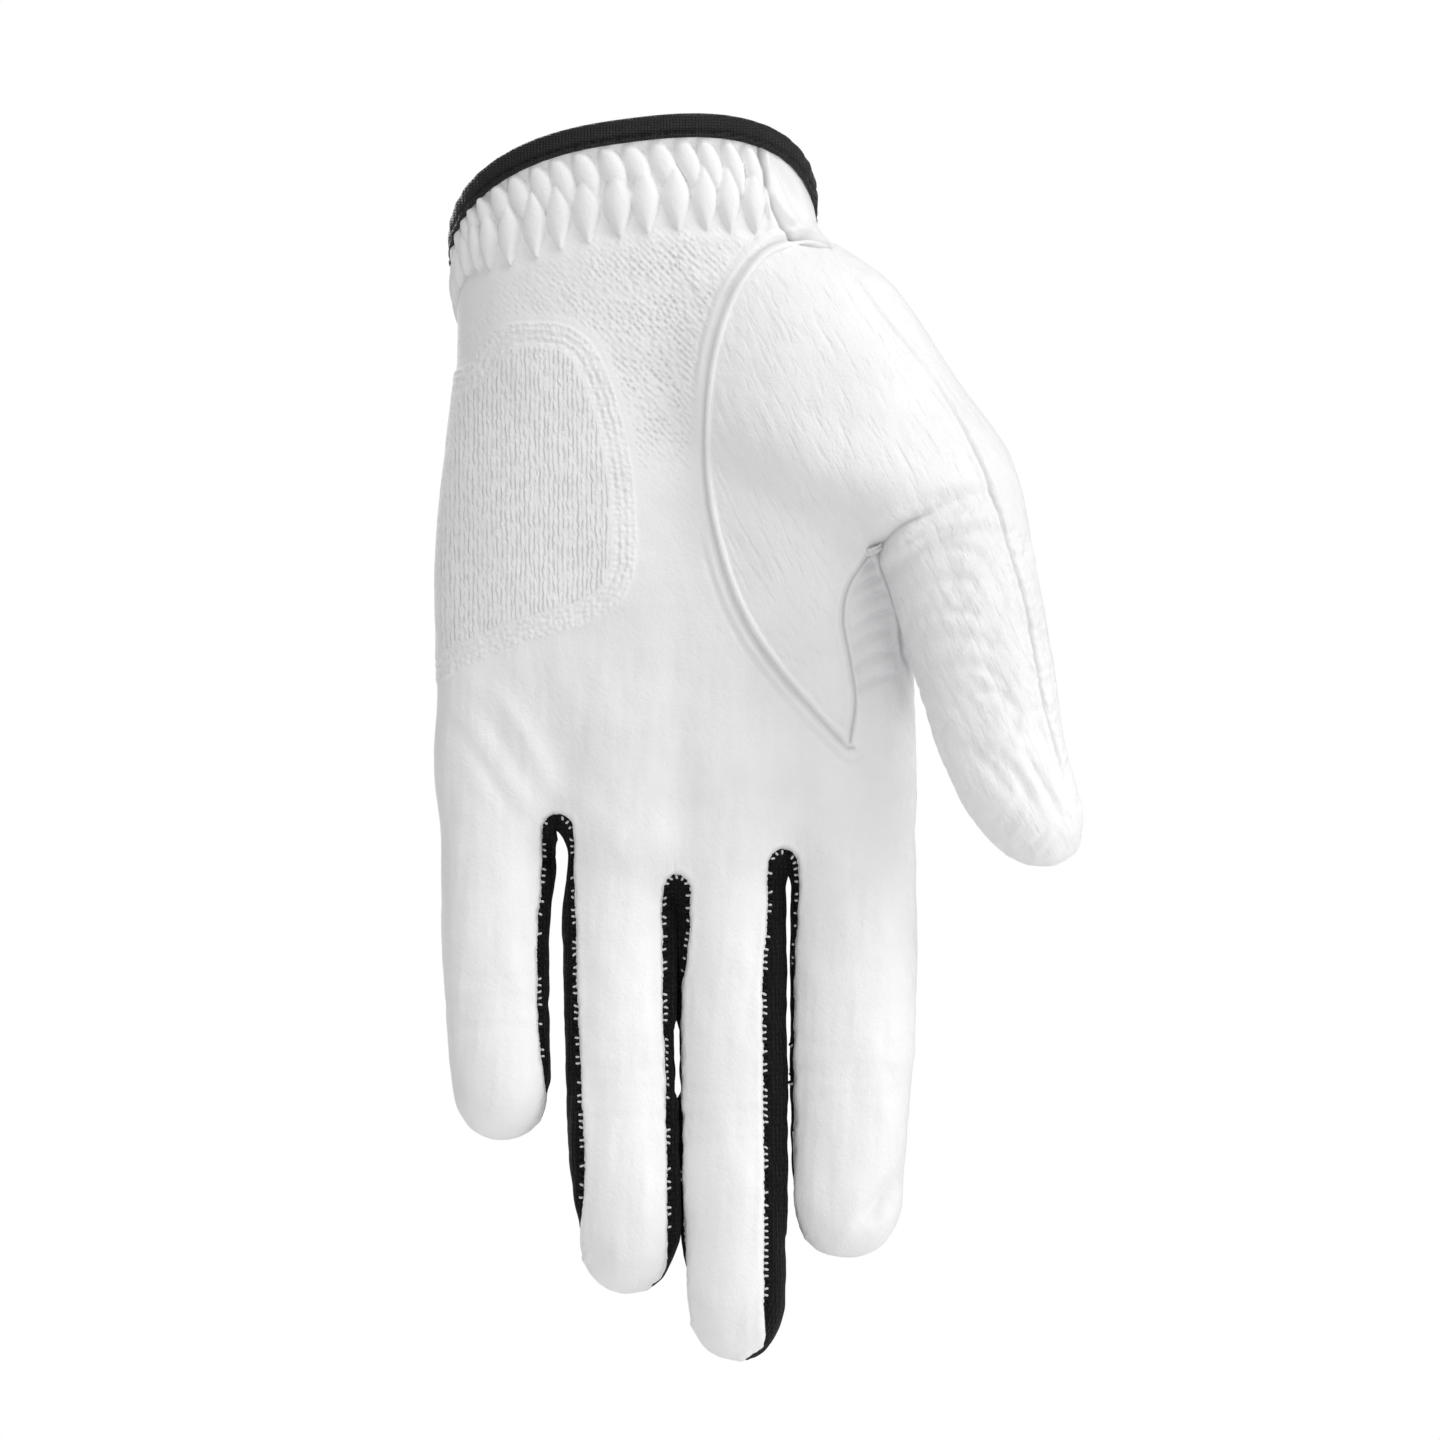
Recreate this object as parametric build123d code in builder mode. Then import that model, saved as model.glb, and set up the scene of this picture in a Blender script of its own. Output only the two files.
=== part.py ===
"""Left-hand golf glove, in millimetres, hanging with its fingers down as it sits on a relaxed hand.

Frame: the origin is the centre of the wrist opening. +Z points out of the opening, along the forearm,
the palm faces -Y, and the thumb is on the +X side. Every leather or mesh panel is a thin shell, and
the shells leave the whole inside free for a hand.

Layout: driving sizes, then the hand-shaped shells, then one short section for each group of pieces.
"""

import os
from math import atan, cos, degrees, radians, sin, tan

from build123d import *

os.makedirs("parts", exist_ok=True)

# ---------------------------------------------------------------- driving sizes
LEATHER = 0.6  # thickness of the leather and of the stretch mesh
BODY_GAP = 0.3  # space between pieces of different bodies
REACH = 120.0  # longer than anything that a cutting prism has to pass through
CORNER = 0.46  # corner radius of a section, as a share of its smaller side

# Palm sections, from the wrist down: (z, x centre, width, y centre, depth).
PALM_SECTIONS = [
    (30.0, 0.5, 67.0, 0.0, 45.0),
    (0.0, 0.0, 66.4, 0.0, 44.0),
    (-24.0, 2.0, 68.0, 0.0, 38.0),
    (-62.0, 5.5, 84.5, 0.5, 33.0),
    (-86.0, 8.2, 87.2, 1.0, 29.0),
    (-101.0, 8.4, 87.2, 1.3, 23.5),
    (-110.0, 8.4, 87.2, 1.3, 20.0),
]

# Thumb sections along its own path: (x, y, z, width, depth).
THUMB_SECTIONS = [
    (23.0, -3.0, -11.0, 20.0, 24.0),
    (37.5, -8.0, -26.0, 28.0, 32.0),
    (50.5, -13.0, -44.5, 32.0, 31.0),
    (59.6, -16.0, -60.0, 27.0, 25.0),
    (65.4, -18.8, -86.0, 24.2, 21.5),
    (68.2, -20.0, -99.0, 23.2, 19.5),
    (71.8, -21.2, -109.5, 19.0, 16.0),
    (74.0, -22.0, -115.4, 12.0, 10.5),
    (74.9, -22.3, -118.0, 5.0, 4.5),
]
THUMB_HINGE = Vector(66.3, -19.2, -90.4)  # on the thumb's axis, at its tip joint
THUMB_SPLIT_SLOPE = 0.14  # how fast the thumb's side seams run toward the palm side, per mm down
THUMB_SPLIT_Y = -6.0

FINGER_START = -98.0  # the finger tubes begin at this height, inside the palm
# Fingers: root centre (x, y), tip centre (x, y, z), width, depth, the heights of the base and middle
# joints, and the sides with a mesh strip (1 toward the thumb, -1 away from it).
FINGERS = {
    "little": {"root": (-25.6, 1.5), "tip": (-23.6, -4.0, -168.7), "width": 19.4, "depth": 17.4,
               "joints": (-122.0, -143.5), "open_sides": (1,)},
    "ring": {"root": (-2.6, 1.5), "tip": (-1.0, -6.0, -197.2), "width": 19.8, "depth": 18.4,
             "joints": (-133.0, -160.0), "open_sides": (-1, 1)},
    "middle": {"root": (18.4, 1.5), "tip": (19.2, -7.0, -209.6), "width": 19.2, "depth": 18.8,
               "joints": (-133.0, -164.5), "open_sides": (-1, 1)},
    "index": {"root": (41.2, 1.5), "tip": (40.0, -5.0, -190.6), "width": 21.8, "depth": 19.4,
              "joints": (-128.5, -156.0), "open_sides": (-1,)},
}
# Finger outline near the tip: (distance from the tip, share of the full width).
TIP_SHAPE = [(30.0, 1.0), (20.0, 1.0), (13.0, 0.96), (7.0, 0.83), (3.0, 0.64), (0.6, 0.34)]
SIDE_STRIP = 4.6  # half the height of the side strip between front and back leather
HINGE_TO_PALM_SIDE = 3.0  # the hinges lie this far from the finger's axis, toward the palm
BASE_FLEX = (-10.0, 70.0)
MIDDLE_FLEX = (0.0, 90.0)
THUMB_FLEX = (-10.0, 60.0)

# Wrist opening: the rim's height against y, with the palm side higher than the back.
RIM_PROFILE = [(-40.0, 36.0), (-22.0, 20.5), (0.0, 1.5), (22.0, -7.0), (40.0, -10.0)]
RIM_LEAN = atan(0.125)  # the rim rises toward the thumb side
BINDING_HEIGHT = 5.0
BINDING_PLY = 0.8

# Closure tab on the back, and the slit that it closes.
SLIT_X = -2.0
SLIT_TOP_WIDTH = 9.0
SLIT_BOTTOM_WIDTH = 1.6
SLIT_BOTTOM_Z = -46.0
SLIT_TAPE = 3.6
TAB_HINGE_X = 12.0
TAB_END_X = -27.0
TAB_Z = (-38.0, -16.0)
TAB_BASE_END_X = 24.0
# Layers on the back, each as (inner, outer) distance from the leather.
LOOP_LAYER = (0.02, 0.9)
HOOK_LAYER = (1.25, 2.13)
TAB_LAYER = (2.15, 3.35)
TAB_BASE_LAYER = (0.02, 1.15)
TAB_FOLD_LAYER = (1.2, 2.1)

# Outlines in X and Z of the panels that are sewn together, each a curve from its wrist end down.
THENAR_SEAM = [(35.2, -4.1), (25.5, -6.0), (19.1, -13.7), (14.6, -33.0), (15.0, -52.0), (20.0, -69.0),
               (28.5, -82.5), (40.3, -95.5)]
WEB_SEAM = [(41.3, -87.7), (39.2, -73.0), (44.6, -60.3)]
THENAR_OUTSIDE = [(50.0, -76.0), (52.6, -84.0), (52.6, -135.0), (100.0, -135.0), (100.0, -4.1)]
WEB_OUTSIDE = [(52.6, -91.0), (52.6, -84.0), (50.0, -76.0)]
BACK_THUMB_SEAM = [(38.0, -1.0), (33.0, -12.0), (34.5, -40.0), (41.0, -68.0), (53.0, -90.0)]
BACK_THUMB_OUTSIDE = [(53.0, -135.0), (100.0, -135.0), (100.0, -1.0)]
CUFF_SIDE = [(24.0, 60.0), (24.0, 14.0), (30.5, -4.1), (30.5, -18.0), (60.0, -18.0), (60.0, 60.0)]
HEEL_PATCH = [(-40.0, -26.0), (-31.0, -24.0), (-20.7, -18.3), (-13.3, -18.6), (-6.6, -23.0),
              (-1.0, -40.0), (0.9, -56.0), (-2.0, -69.5), (-9.6, -74.4), (-20.0, -77.0),
              (-40.0, -85.8)]
PATCH_THICKNESS = 0.7
SEAM_Y = 2.0  # the side seams between palm and back
WELT_WIDTH = 1.5
WELT_HEIGHT = 0.7
BARTACK = (44.6, -60.3)
KNUCKLE_MESH_X = (-27.0, 43.0)
KNUCKLE_MESH_Z = (-101.0, -89.0)
# Between neighbouring fingers: (x, height of the crotch).
CROTCHES = {
    "little_ring": (-14.1, -112.5),
    "ring_middle": (8.0, -123.0),
    "middle_index": (29.2, -118.0),
}
FORK_HALF_WIDTH = 6.5
FORK_HALF_DEPTH = 6.5
ELASTIC_DEPTHS = (9.0, 15.5)  # how far below the rim the two elastic tapes start
ELASTIC_WIDTH = 3.0
ELASTIC_PLY = 0.7


# ---------------------------------------------------------------- helpers
def loft_of(sections):
    """A smooth solid through rounded rectangles given as (plane, width, depth)."""
    with BuildPart() as solid:
        for plane, width, depth in sections:
            with BuildSketch(plane):
                RectangleRounded(width, depth, CORNER * min(width, depth))
        loft()
    return solid.part


def palm_loft(offset=0.0, end=0.0):
    """The palm's solid, grown by offset all round and made longer by end at the knuckles."""
    sections = []
    for z, x, width, y, depth in PALM_SECTIONS:
        z_here = z - end if z == PALM_SECTIONS[-1][0] else z
        plane = Plane(origin=(x, y, z_here), x_dir=(1, 0, 0), z_dir=(0, 0, 1))
        sections.append((plane, width + 2 * offset, depth + 2 * offset))
    return loft_of(sections)


def thumb_loft(offset=0.0):
    """The thumb's solid, grown by offset all round, with its tip pulled in or out by the same."""
    centres = [Vector(*row[:3]) for row in THUMB_SECTIONS]
    sections = []
    for i, (x, y, z, width, depth) in enumerate(THUMB_SECTIONS):
        before = centres[max(i - 1, 0)]
        after = centres[min(i + 1, len(centres) - 1)]
        along = (after - before).normalized()
        across = Vector(0, 1, 0).cross(along).normalized() * -1
        centre = centres[i] + along * (offset if i > 4 else 0.0)
        plane = Plane(origin=centre, x_dir=across, z_dir=along)
        sections.append((plane, width + 2 * offset, depth + 2 * offset))
    return loft_of(sections)


def finger_plane(finger):
    """The finger's own frame: x toward the thumb side, y toward the palm, z toward its tip."""
    start = Vector(finger["root"][0], finger["root"][1], FINGER_START)
    along = (Vector(*finger["tip"]) - start).normalized()
    across = Vector(0, 1, 0).cross(along).normalized() * -1
    return Plane(origin=start, x_dir=across, z_dir=along)


def finger_length(finger):
    start = Vector(finger["root"][0], finger["root"][1], FINGER_START)
    return (Vector(*finger["tip"]) - start).length


def finger_loft(finger, offset=0.0):
    """The finger's solid, grown by offset all round: a straight tube with a domed tip."""
    frame = finger_plane(finger)
    tip_at = finger_length(finger) + offset
    width = finger["width"]
    depth = finger["depth"]
    dome = [
        (frame.offset(tip_at - back), width * share + 2 * offset, depth * share + 2 * offset)
        for back, share in TIP_SHAPE
    ]
    corner = CORNER * (min(width, depth) + 2 * offset)
    with BuildPart() as tube:
        with BuildSketch(frame):
            RectangleRounded(width + 2 * offset, depth + 2 * offset, corner)
        extrude(amount=tip_at - TIP_SHAPE[0][0])
        add(loft_of(dome))
    return tube.part


def hinge_wedge(frame, hinge, flex, half_width, grow=0.0):
    """The bow-tie that a joint sweeps: wide on the palm side for bending, narrow on the back."""
    palm_half = radians(flex[1] / 2 + 2)
    back_half = radians(-flex[0] / 2 + 1)
    gap = BODY_GAP / 2 + grow
    far = 30.0
    plane = Plane(origin=hinge, x_dir=frame.y_dir, z_dir=frame.x_dir)
    with BuildPart() as wedge:
        with BuildSketch(plane):
            with BuildLine():
                Polyline(
                    (0, gap),
                    (far, gap + far * tan(palm_half)),
                    (far, -gap - far * tan(palm_half)),
                    (0, -gap),
                    (-far, -gap - far * tan(back_half)),
                    (-far, gap + far * tan(back_half)),
                    close=True,
                )
            make_face()
        extrude(amount=half_width, both=True)
    return wedge.part


def slab(frame, low, high, x_range=(-40, 40), y_range=(-40, 40)):
    """A box in a frame's own axes, from low to high along its z."""
    with BuildPart() as block:
        with BuildSketch(frame.offset(low)):
            with Locations((sum(x_range) / 2, sum(y_range) / 2)):
                Rectangle(x_range[1] - x_range[0], y_range[1] - y_range[0])
        extrude(amount=high - low)
    return block.part


def prism_xz(curve, corners=()):
    """A prism through the whole glove: its outline in X and Z is a smooth curve closed by corners."""
    with BuildPart() as prism:
        with BuildSketch(Plane.XZ):
            with BuildLine():
                Spline(*curve)
                Polyline(curve[-1], *corners, curve[0])
            make_face()
        extrude(amount=REACH, both=True)
    return prism.part


def polygon_xz(corners):
    with BuildPart() as prism:
        with BuildSketch(Plane.XZ):
            with BuildLine():
                Polyline(*corners, close=True)
            make_face()
        extrude(amount=REACH, both=True)
    return prism.part


def above_rim(drop):
    """Everything above the rim's surface, lowered by drop."""
    direction = Vector(cos(RIM_LEAN), 0, sin(RIM_LEAN))
    plane = Plane(origin=(0, 0, -drop), x_dir=(0, 1, 0), z_dir=direction)
    with BuildPart() as block:
        with BuildSketch(plane):
            with BuildLine():
                edge = Spline(*RIM_PROFILE)
                Polyline(edge @ 1, (RIM_PROFILE[-1][0], REACH), (RIM_PROFILE[0][0], REACH), edge @ 0)
            make_face()
        extrude(amount=REACH, both=True)
    return block.part


def cut_piece(base, keep=(), drop=()):
    """base within every solid of keep and outside every solid of drop."""
    with BuildPart() as piece:
        add(base)
        for solid in keep:
            add(solid, mode=Mode.INTERSECT)
        for solid in drop:
            add(solid, mode=Mode.SUBTRACT)
    return piece.part


def shell(outer, inner):
    return cut_piece(outer, drop=[inner])


def write(name, part):
    part.label = name
    export_step(part, f"parts/{name}.step")


# ---------------------------------------------------------------- fingers
finger_outer = {name: finger_loft(f) for name, f in FINGERS.items()}
finger_inner = {name: finger_loft(f, -LEATHER) for name, f in FINGERS.items()}
base_wedges = {}


def hinge_point(finger, z):
    """The hinge at height z: on the finger's axis, moved toward the palm."""
    frame = finger_plane(finger)
    down = (z - frame.origin.Z) / frame.z_dir.Z
    return frame.origin + frame.z_dir * down + frame.y_dir * HINGE_TO_PALM_SIDE


def along_axis(finger, point):
    frame = finger_plane(finger)
    return (point - frame.origin).dot(frame.z_dir)


def finger_pieces(name, finger):
    """Writes one finger: lower and upper front, back and side strips, and the two flexing creases."""
    frame = finger_plane(finger)
    wall = shell(finger_outer[name], finger_inner[name])
    base, middle = (hinge_point(finger, z) for z in finger["joints"])
    base_at, middle_at = along_axis(finger, base), along_axis(finger, middle)
    half_width = finger["width"] / 2 + 0.25
    base_wedge = hinge_wedge(frame, base, BASE_FLEX, half_width)
    middle_wedge = hinge_wedge(frame, middle, MIDDLE_FLEX, half_width)
    base_wedges[name] = base_wedge
    end = finger_length(finger) + 5
    strips = [
        slab(frame, -10, end, (0, 40) if side > 0 else (-40, 0), (-SIDE_STRIP, SIDE_STRIP))
        for side in finger["open_sides"]
    ]
    front_space = slab(frame, -10, end, (-40, 40), (-SIDE_STRIP, 40))
    back_space = slab(frame, -10, end, (-40, 40), (-40, -SIDE_STRIP))
    for level, low, high, wedges in (
        ("lower", base_at, middle_at, (base_wedge, middle_wedge)),
        ("upper", middle_at, end, (middle_wedge,)),
    ):
        part_wall = cut_piece(wall, keep=[slab(frame, low, high)], drop=wedges)
        write(f"{name}_{level}_front", cut_piece(part_wall, keep=[front_space], drop=strips))
        write(f"{name}_{level}_back", cut_piece(part_wall, keep=[back_space], drop=strips))
        with BuildPart() as sides:
            for strip in strips:
                add(cut_piece(part_wall, keep=[strip]))
        write(f"{name}_{level}_fourchettes", sides.part)

    for joint, at, flex in (("base", base, BASE_FLEX), ("middle", middle, MIDDLE_FLEX)):
        crease_space = hinge_wedge(frame, at, flex, half_width, -0.1)
        write(f"{name}_{joint}_crease", cut_piece(wall, keep=[crease_space]))


for finger_name, finger_sizes in FINGERS.items():
    finger_pieces(finger_name, finger_sizes)


# ---------------------------------------------------------------- the rest of the hand as one shell
def crotch_block(gap, offset):
    """The web between two fingers, down to its crotch."""
    x, z = CROTCHES[gap]
    with BuildPart() as block:
        with BuildSketch(Plane(origin=(x, 1.0, FINGER_START), x_dir=(1, 0, 0), z_dir=(0, 0, -1))):
            Rectangle(14, 2 * (FORK_HALF_DEPTH - 1.0 + offset))
        extrude(amount=FINGER_START - z + offset)
    return block.part


def hand_solid(offset, stub_end):
    """The palm with the thumb and the finger stubs, grown by offset, as one solid."""
    with BuildPart() as hand:
        add(palm_loft(offset, offset))
        add(thumb_loft(offset))
        for name, finger in FINGERS.items():
            tube = finger_inner[name] if offset < 0 else finger_outer[name]
            end = along_axis(finger, hinge_point(finger, finger["joints"][0])) + stub_end
            add(cut_piece(tube, keep=[slab(finger_plane(finger), -1, end)]))
        for gap in CROTCHES:
            add(crotch_block(gap, offset))
    return hand.part


def half_space(plane):
    return slab(plane, 0, 2 * REACH, (-2 * REACH, 2 * REACH), (-2 * REACH, 2 * REACH))


hand_outer = hand_solid(0.0, 0.0)
hand_wall = cut_piece(
    hand_outer,
    drop=[hand_solid(-LEATHER, 15.0), *base_wedges.values(), above_rim(0.7)],
)

# The thumb's frame at its tip joint, and the wedge that the joint sweeps.
thumb_along = (Vector(*THUMB_SECTIONS[5][:3]) - Vector(*THUMB_SECTIONS[3][:3])).normalized()
thumb_across = Vector(0, 1, 0).cross(thumb_along).normalized() * -1
thumb_frame = Plane(origin=THUMB_HINGE, x_dir=thumb_across, z_dir=thumb_along)
thumb_hinge = THUMB_HINGE + thumb_frame.y_dir * HINGE_TO_PALM_SIDE
thumb_zone = slab(thumb_frame, -12, 60, (-12.6, 20), (-12.5, 30))
thumb_tip_space = slab(thumb_frame, 0, 60, (-12.6, 20), (-12.5, 30))
thumb_wedge = hinge_wedge(thumb_frame, thumb_hinge, THUMB_FLEX, 20)
thumb_crease_wedge = hinge_wedge(thumb_frame, thumb_hinge, THUMB_FLEX, 20, -0.1)
thumb_sweep = cut_piece(thumb_wedge, keep=[thumb_zone])
thumb_crease_space = cut_piece(thumb_crease_wedge, keep=[thumb_zone])

split_at = (0, THUMB_SPLIT_Y, 0)
split_normal = Vector(0, -1, THUMB_SPLIT_SLOPE).normalized()
thumb_front_space = half_space(Plane(origin=split_at, x_dir=(1, 0, 0), z_dir=split_normal))
thumb_back_space = half_space(Plane(origin=split_at, x_dir=(1, 0, 0), z_dir=split_normal * -1))
palm_space = half_space(Plane(origin=(0, SEAM_Y, 0), x_dir=(1, 0, 0), z_dir=(0, -1, 0)))
back_space = half_space(Plane(origin=(0, SEAM_Y, 0), x_dir=(1, 0, 0), z_dir=(0, 1, 0)))

thenar_space = prism_xz(THENAR_SEAM, [*WEB_SEAM, *THENAR_OUTSIDE])
web_space = polygon_xz([THENAR_SEAM[-1], *WEB_SEAM, *reversed(WEB_OUTSIDE)])
thumb_back_prism = prism_xz(BACK_THUMB_SEAM, BACK_THUMB_OUTSIDE)
cuff_side_space = polygon_xz(CUFF_SIDE)
knuckle_left, knuckle_right = KNUCKLE_MESH_X
knuckle_low, knuckle_high = KNUCKLE_MESH_Z
knuckle_outline = [
    (knuckle_left, knuckle_low),
    (knuckle_right, knuckle_low),
    (knuckle_right, knuckle_high),
    (knuckle_left, knuckle_high),
]
knuckle_space = cut_piece(polygon_xz(knuckle_outline), keep=[back_space])
fork_space = {
    gap: slab(Plane(origin=(x, 1.0, z), x_dir=(1, 0, 0), z_dir=(0, 0, -1)), -6, 30,
              (-FORK_HALF_WIDTH, FORK_HALF_WIDTH), (-FORK_HALF_DEPTH, FORK_HALF_DEPTH))
    for gap, (x, z) in CROTCHES.items()
}


def slit_space(margin):
    """The slit in the back, widened by margin on each side and at its end."""
    top = SLIT_TOP_WIDTH / 2 + margin
    bottom = SLIT_BOTTOM_WIDTH / 2 + margin
    low = SLIT_BOTTOM_Z - margin
    outline = [(SLIT_X - top, 20), (SLIT_X + top, 20), (SLIT_X + bottom, low), (SLIT_X - bottom, low)]
    return cut_piece(polygon_xz(outline), keep=[back_space])


# ---------------------------------------------------------------- leather and mesh panels
thumb_tip = cut_piece(hand_wall, keep=[thumb_tip_space], drop=[thumb_sweep])
write("thumb_tip_front", cut_piece(thumb_tip, keep=[thumb_front_space]))
write("thumb_tip_back", cut_piece(thumb_tip, keep=[thumb_back_space]))
write("thumb_crease", cut_piece(hand_wall, keep=[thumb_crease_space]))

body_wall = cut_piece(hand_wall, drop=[thumb_tip_space, thumb_sweep])
fork_all = list(fork_space.values())
with BuildPart() as forks:
    for space in fork_all:
        add(cut_piece(body_wall, keep=[space]))
write("fourchette_forks", forks.part)
panels = cut_piece(body_wall, drop=fork_all)
thenar = cut_piece(panels, keep=[thenar_space, thumb_front_space])
write("thenar_panel", thenar)
thumb_back = cut_piece(panels, keep=[thumb_back_prism, thumb_back_space])
write("thumb_back_panel", thumb_back)
rest_of_hand = cut_piece(panels, drop=[thenar, thumb_back])
web = cut_piece(rest_of_hand, keep=[web_space, palm_space]).solids().sort_by(SortBy.VOLUME)[-1]
write("web_gusset", web)
write("palm_panel", cut_piece(rest_of_hand, keep=[palm_space], drop=[web_space, cuff_side_space]))
with BuildPart() as back:
    add(cut_piece(rest_of_hand, keep=[back_space]))
    add(cut_piece(rest_of_hand, keep=[cuff_side_space]))
write("back_panel", cut_piece(back.part, drop=[slit_space(0.8), knuckle_space]))
write("knuckle_mesh", cut_piece(rest_of_hand, keep=[knuckle_space]))


# ---------------------------------------------------------------- layers on the palm
def layer(inner, outer):
    return cut_piece(palm_loft(outer), drop=[palm_loft(inner)])


above_palm_seam = half_space(Plane(origin=(0, SEAM_Y + 4, 0), x_dir=(1, 0, 0), z_dir=(0, -1, 0)))
write(
    "heel_patch",
    cut_piece(layer(0.02, PATCH_THICKNESS), keep=[prism_xz(HEEL_PATCH), above_palm_seam]),
)

hand_grown = cut_piece(hand_solid(WELT_HEIGHT, 0.0), drop=[hand_solid(0.01, 0.0)])
with BuildPart() as welt_band:
    with BuildSketch(Plane.XZ):
        with BuildLine():
            Spline(*THENAR_SEAM[:-1])
        trace(line_width=WELT_WIDTH)
    extrude(amount=REACH, both=True)
write("thenar_welt", cut_piece(hand_grown, keep=[welt_band.part, thumb_front_space]))
with BuildPart() as bartack_block:
    with BuildSketch(Plane.XZ):
        with Locations(BARTACK):
            Rectangle(3.2, 1.4)
    extrude(amount=REACH, both=True)
bartack_strip = cut_piece(hand_grown, keep=[bartack_block.part, thumb_front_space])
bartack_y = bartack_strip.bounding_box().min.Y + 1.2
bartack_front = half_space(Plane(origin=(0, bartack_y, 0), x_dir=(1, 0, 0), z_dir=(0, -1, 0)))
write("bartack", cut_piece(bartack_strip, keep=[bartack_front]))


# ---------------------------------------------------------------- wrist: binding, slit tape, elastics
sleeve = layer(-LEATHER - BINDING_PLY, BINDING_PLY)
slit_tape_space = slit_space(SLIT_TAPE)
wall_beside_slit = cut_piece(hand_wall, drop=[slit_space(0.8)])
write(
    "wrist_binding",
    cut_piece(
        sleeve,
        keep=[above_rim(BINDING_HEIGHT)],
        drop=[above_rim(0), hand_wall, slit_tape_space],
    ),
)
write(
    "slit_binding",
    cut_piece(
        sleeve,
        keep=[slit_tape_space, back_space],
        drop=[above_rim(0), slit_space(0), wall_beside_slit],
    ),
)
elastic_layer = layer(-LEATHER - ELASTIC_PLY - 0.02, -LEATHER - 0.02)
with BuildPart() as elastics:
    for depth in ELASTIC_DEPTHS:
        add(
            cut_piece(
                elastic_layer,
                keep=[above_rim(depth + ELASTIC_WIDTH), palm_space],
                drop=[above_rim(depth), cuff_side_space],
            )
        )
write("wrist_elastics", elastics.part)


# ---------------------------------------------------------------- closure tab on the back
def back_block(x_low, x_high, z_low, z_high, corner):
    """A prism on the back with rounded corners."""
    with BuildPart() as block:
        with BuildSketch(Plane.XZ):
            with Locations(((x_low + x_high) / 2, (z_low + z_high) / 2)):
                RectangleRounded(x_high - x_low, z_high - z_low, corner)
        extrude(amount=-REACH)
    return block.part


tab_low, tab_high = TAB_Z
loop_space = back_block(TAB_END_X - 2, -10.5, tab_low - 1, tab_high + 1, 2.0)
hook_space = back_block(TAB_END_X + 1.5, -11.0, tab_low + 2, tab_high - 2, 4.0)
write("loop_pad", cut_piece(layer(*LOOP_LAYER), keep=[loop_space]))
write("hook_pad", cut_piece(layer(*HOOK_LAYER), keep=[hook_space]))
with BuildPart() as tab_space:
    with BuildSketch(Plane.XZ):
        with BuildLine():
            Polyline((TAB_END_X + 10, tab_low), (TAB_HINGE_X, tab_low), (TAB_HINGE_X, tab_high),
                     (TAB_END_X + 10, tab_high))
            ThreePointArc((TAB_END_X + 10, tab_high), (TAB_END_X, (tab_low + tab_high) / 2),
                          (TAB_END_X + 10, tab_low))
        make_face()
    extrude(amount=-REACH)
base_space = back_block(TAB_HINGE_X - 3, TAB_BASE_END_X, tab_low, tab_high, 1.0)
fold_space = back_block(TAB_HINGE_X - 3, TAB_HINGE_X, tab_low, tab_high, 0.5)
write("closure_tab", cut_piece(layer(*TAB_LAYER), keep=[tab_space.part]))
write("tab_base", cut_piece(layer(*TAB_BASE_LAYER), keep=[base_space]))
write("tab_fold", cut_piece(layer(*TAB_FOLD_LAYER), keep=[fold_space]))
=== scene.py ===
from math import cos, pi, radians, sin

import bpy
import numpy as np
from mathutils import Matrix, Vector
from mathutils.bvhtree import BVHTree


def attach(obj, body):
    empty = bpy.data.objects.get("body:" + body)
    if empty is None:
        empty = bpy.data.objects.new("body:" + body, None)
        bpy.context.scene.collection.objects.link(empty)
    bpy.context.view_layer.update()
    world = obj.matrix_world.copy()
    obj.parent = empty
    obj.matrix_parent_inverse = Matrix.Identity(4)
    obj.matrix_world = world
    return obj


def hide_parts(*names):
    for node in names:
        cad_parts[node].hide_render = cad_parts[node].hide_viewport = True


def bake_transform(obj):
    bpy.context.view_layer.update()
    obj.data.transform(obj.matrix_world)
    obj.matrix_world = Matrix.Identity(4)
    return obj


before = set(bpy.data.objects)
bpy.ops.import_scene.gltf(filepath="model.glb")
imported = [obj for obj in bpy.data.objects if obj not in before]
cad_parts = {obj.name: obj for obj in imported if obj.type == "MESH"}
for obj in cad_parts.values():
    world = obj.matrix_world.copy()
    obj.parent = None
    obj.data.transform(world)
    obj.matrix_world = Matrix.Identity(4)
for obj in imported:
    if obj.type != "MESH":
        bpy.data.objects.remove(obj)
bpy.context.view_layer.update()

# All shapes are worked out in millimetres and become metres when a mesh is made.
GRID_STEP = 1.2
MM = 0.001
FINGERS = ("little", "ring", "middle", "index")


# ---------------------------------------------------------------- small numeric tools
def smoothstep(t):
    t = np.clip(t, 0, 1)
    return t * t * (3 - 2 * t)


def bump(d, width):
    """1 on a line and falling to 0 over about twice width on either side of it."""
    return np.exp(-((d / width) ** 2))


def unit(v):
    return v / np.maximum(np.linalg.norm(v, axis=-1, keepdims=True), 1e-9)


def smooth_min(a, b, k):
    h = np.clip(0.5 + 0.5 * (b - a) / k, 0, 1)
    return b + (a - b) * h - k * h * (1 - h)


Z_GRID = np.arange(-240.0, 70.0, 0.5)


def smooth_table(rows, soften=4.0):
    """Columns against height from rows of (z, values...), rounded over soften mm."""
    rows = np.array(sorted(rows), float)
    reach = int(3 * soften / 0.5)
    kernel = np.exp(-0.5 * (np.arange(-reach, reach + 1) * 0.5 / soften) ** 2)
    kernel /= kernel.sum()
    columns = []
    for k in range(1, rows.shape[1]):
        raw = np.interp(Z_GRID, rows[:, 0], rows[:, k])
        columns.append(np.convolve(np.pad(raw, reach, mode="edge"), kernel, mode="valid"))
    return columns


def at(column, z):
    return np.interp(z, Z_GRID, column)


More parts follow.
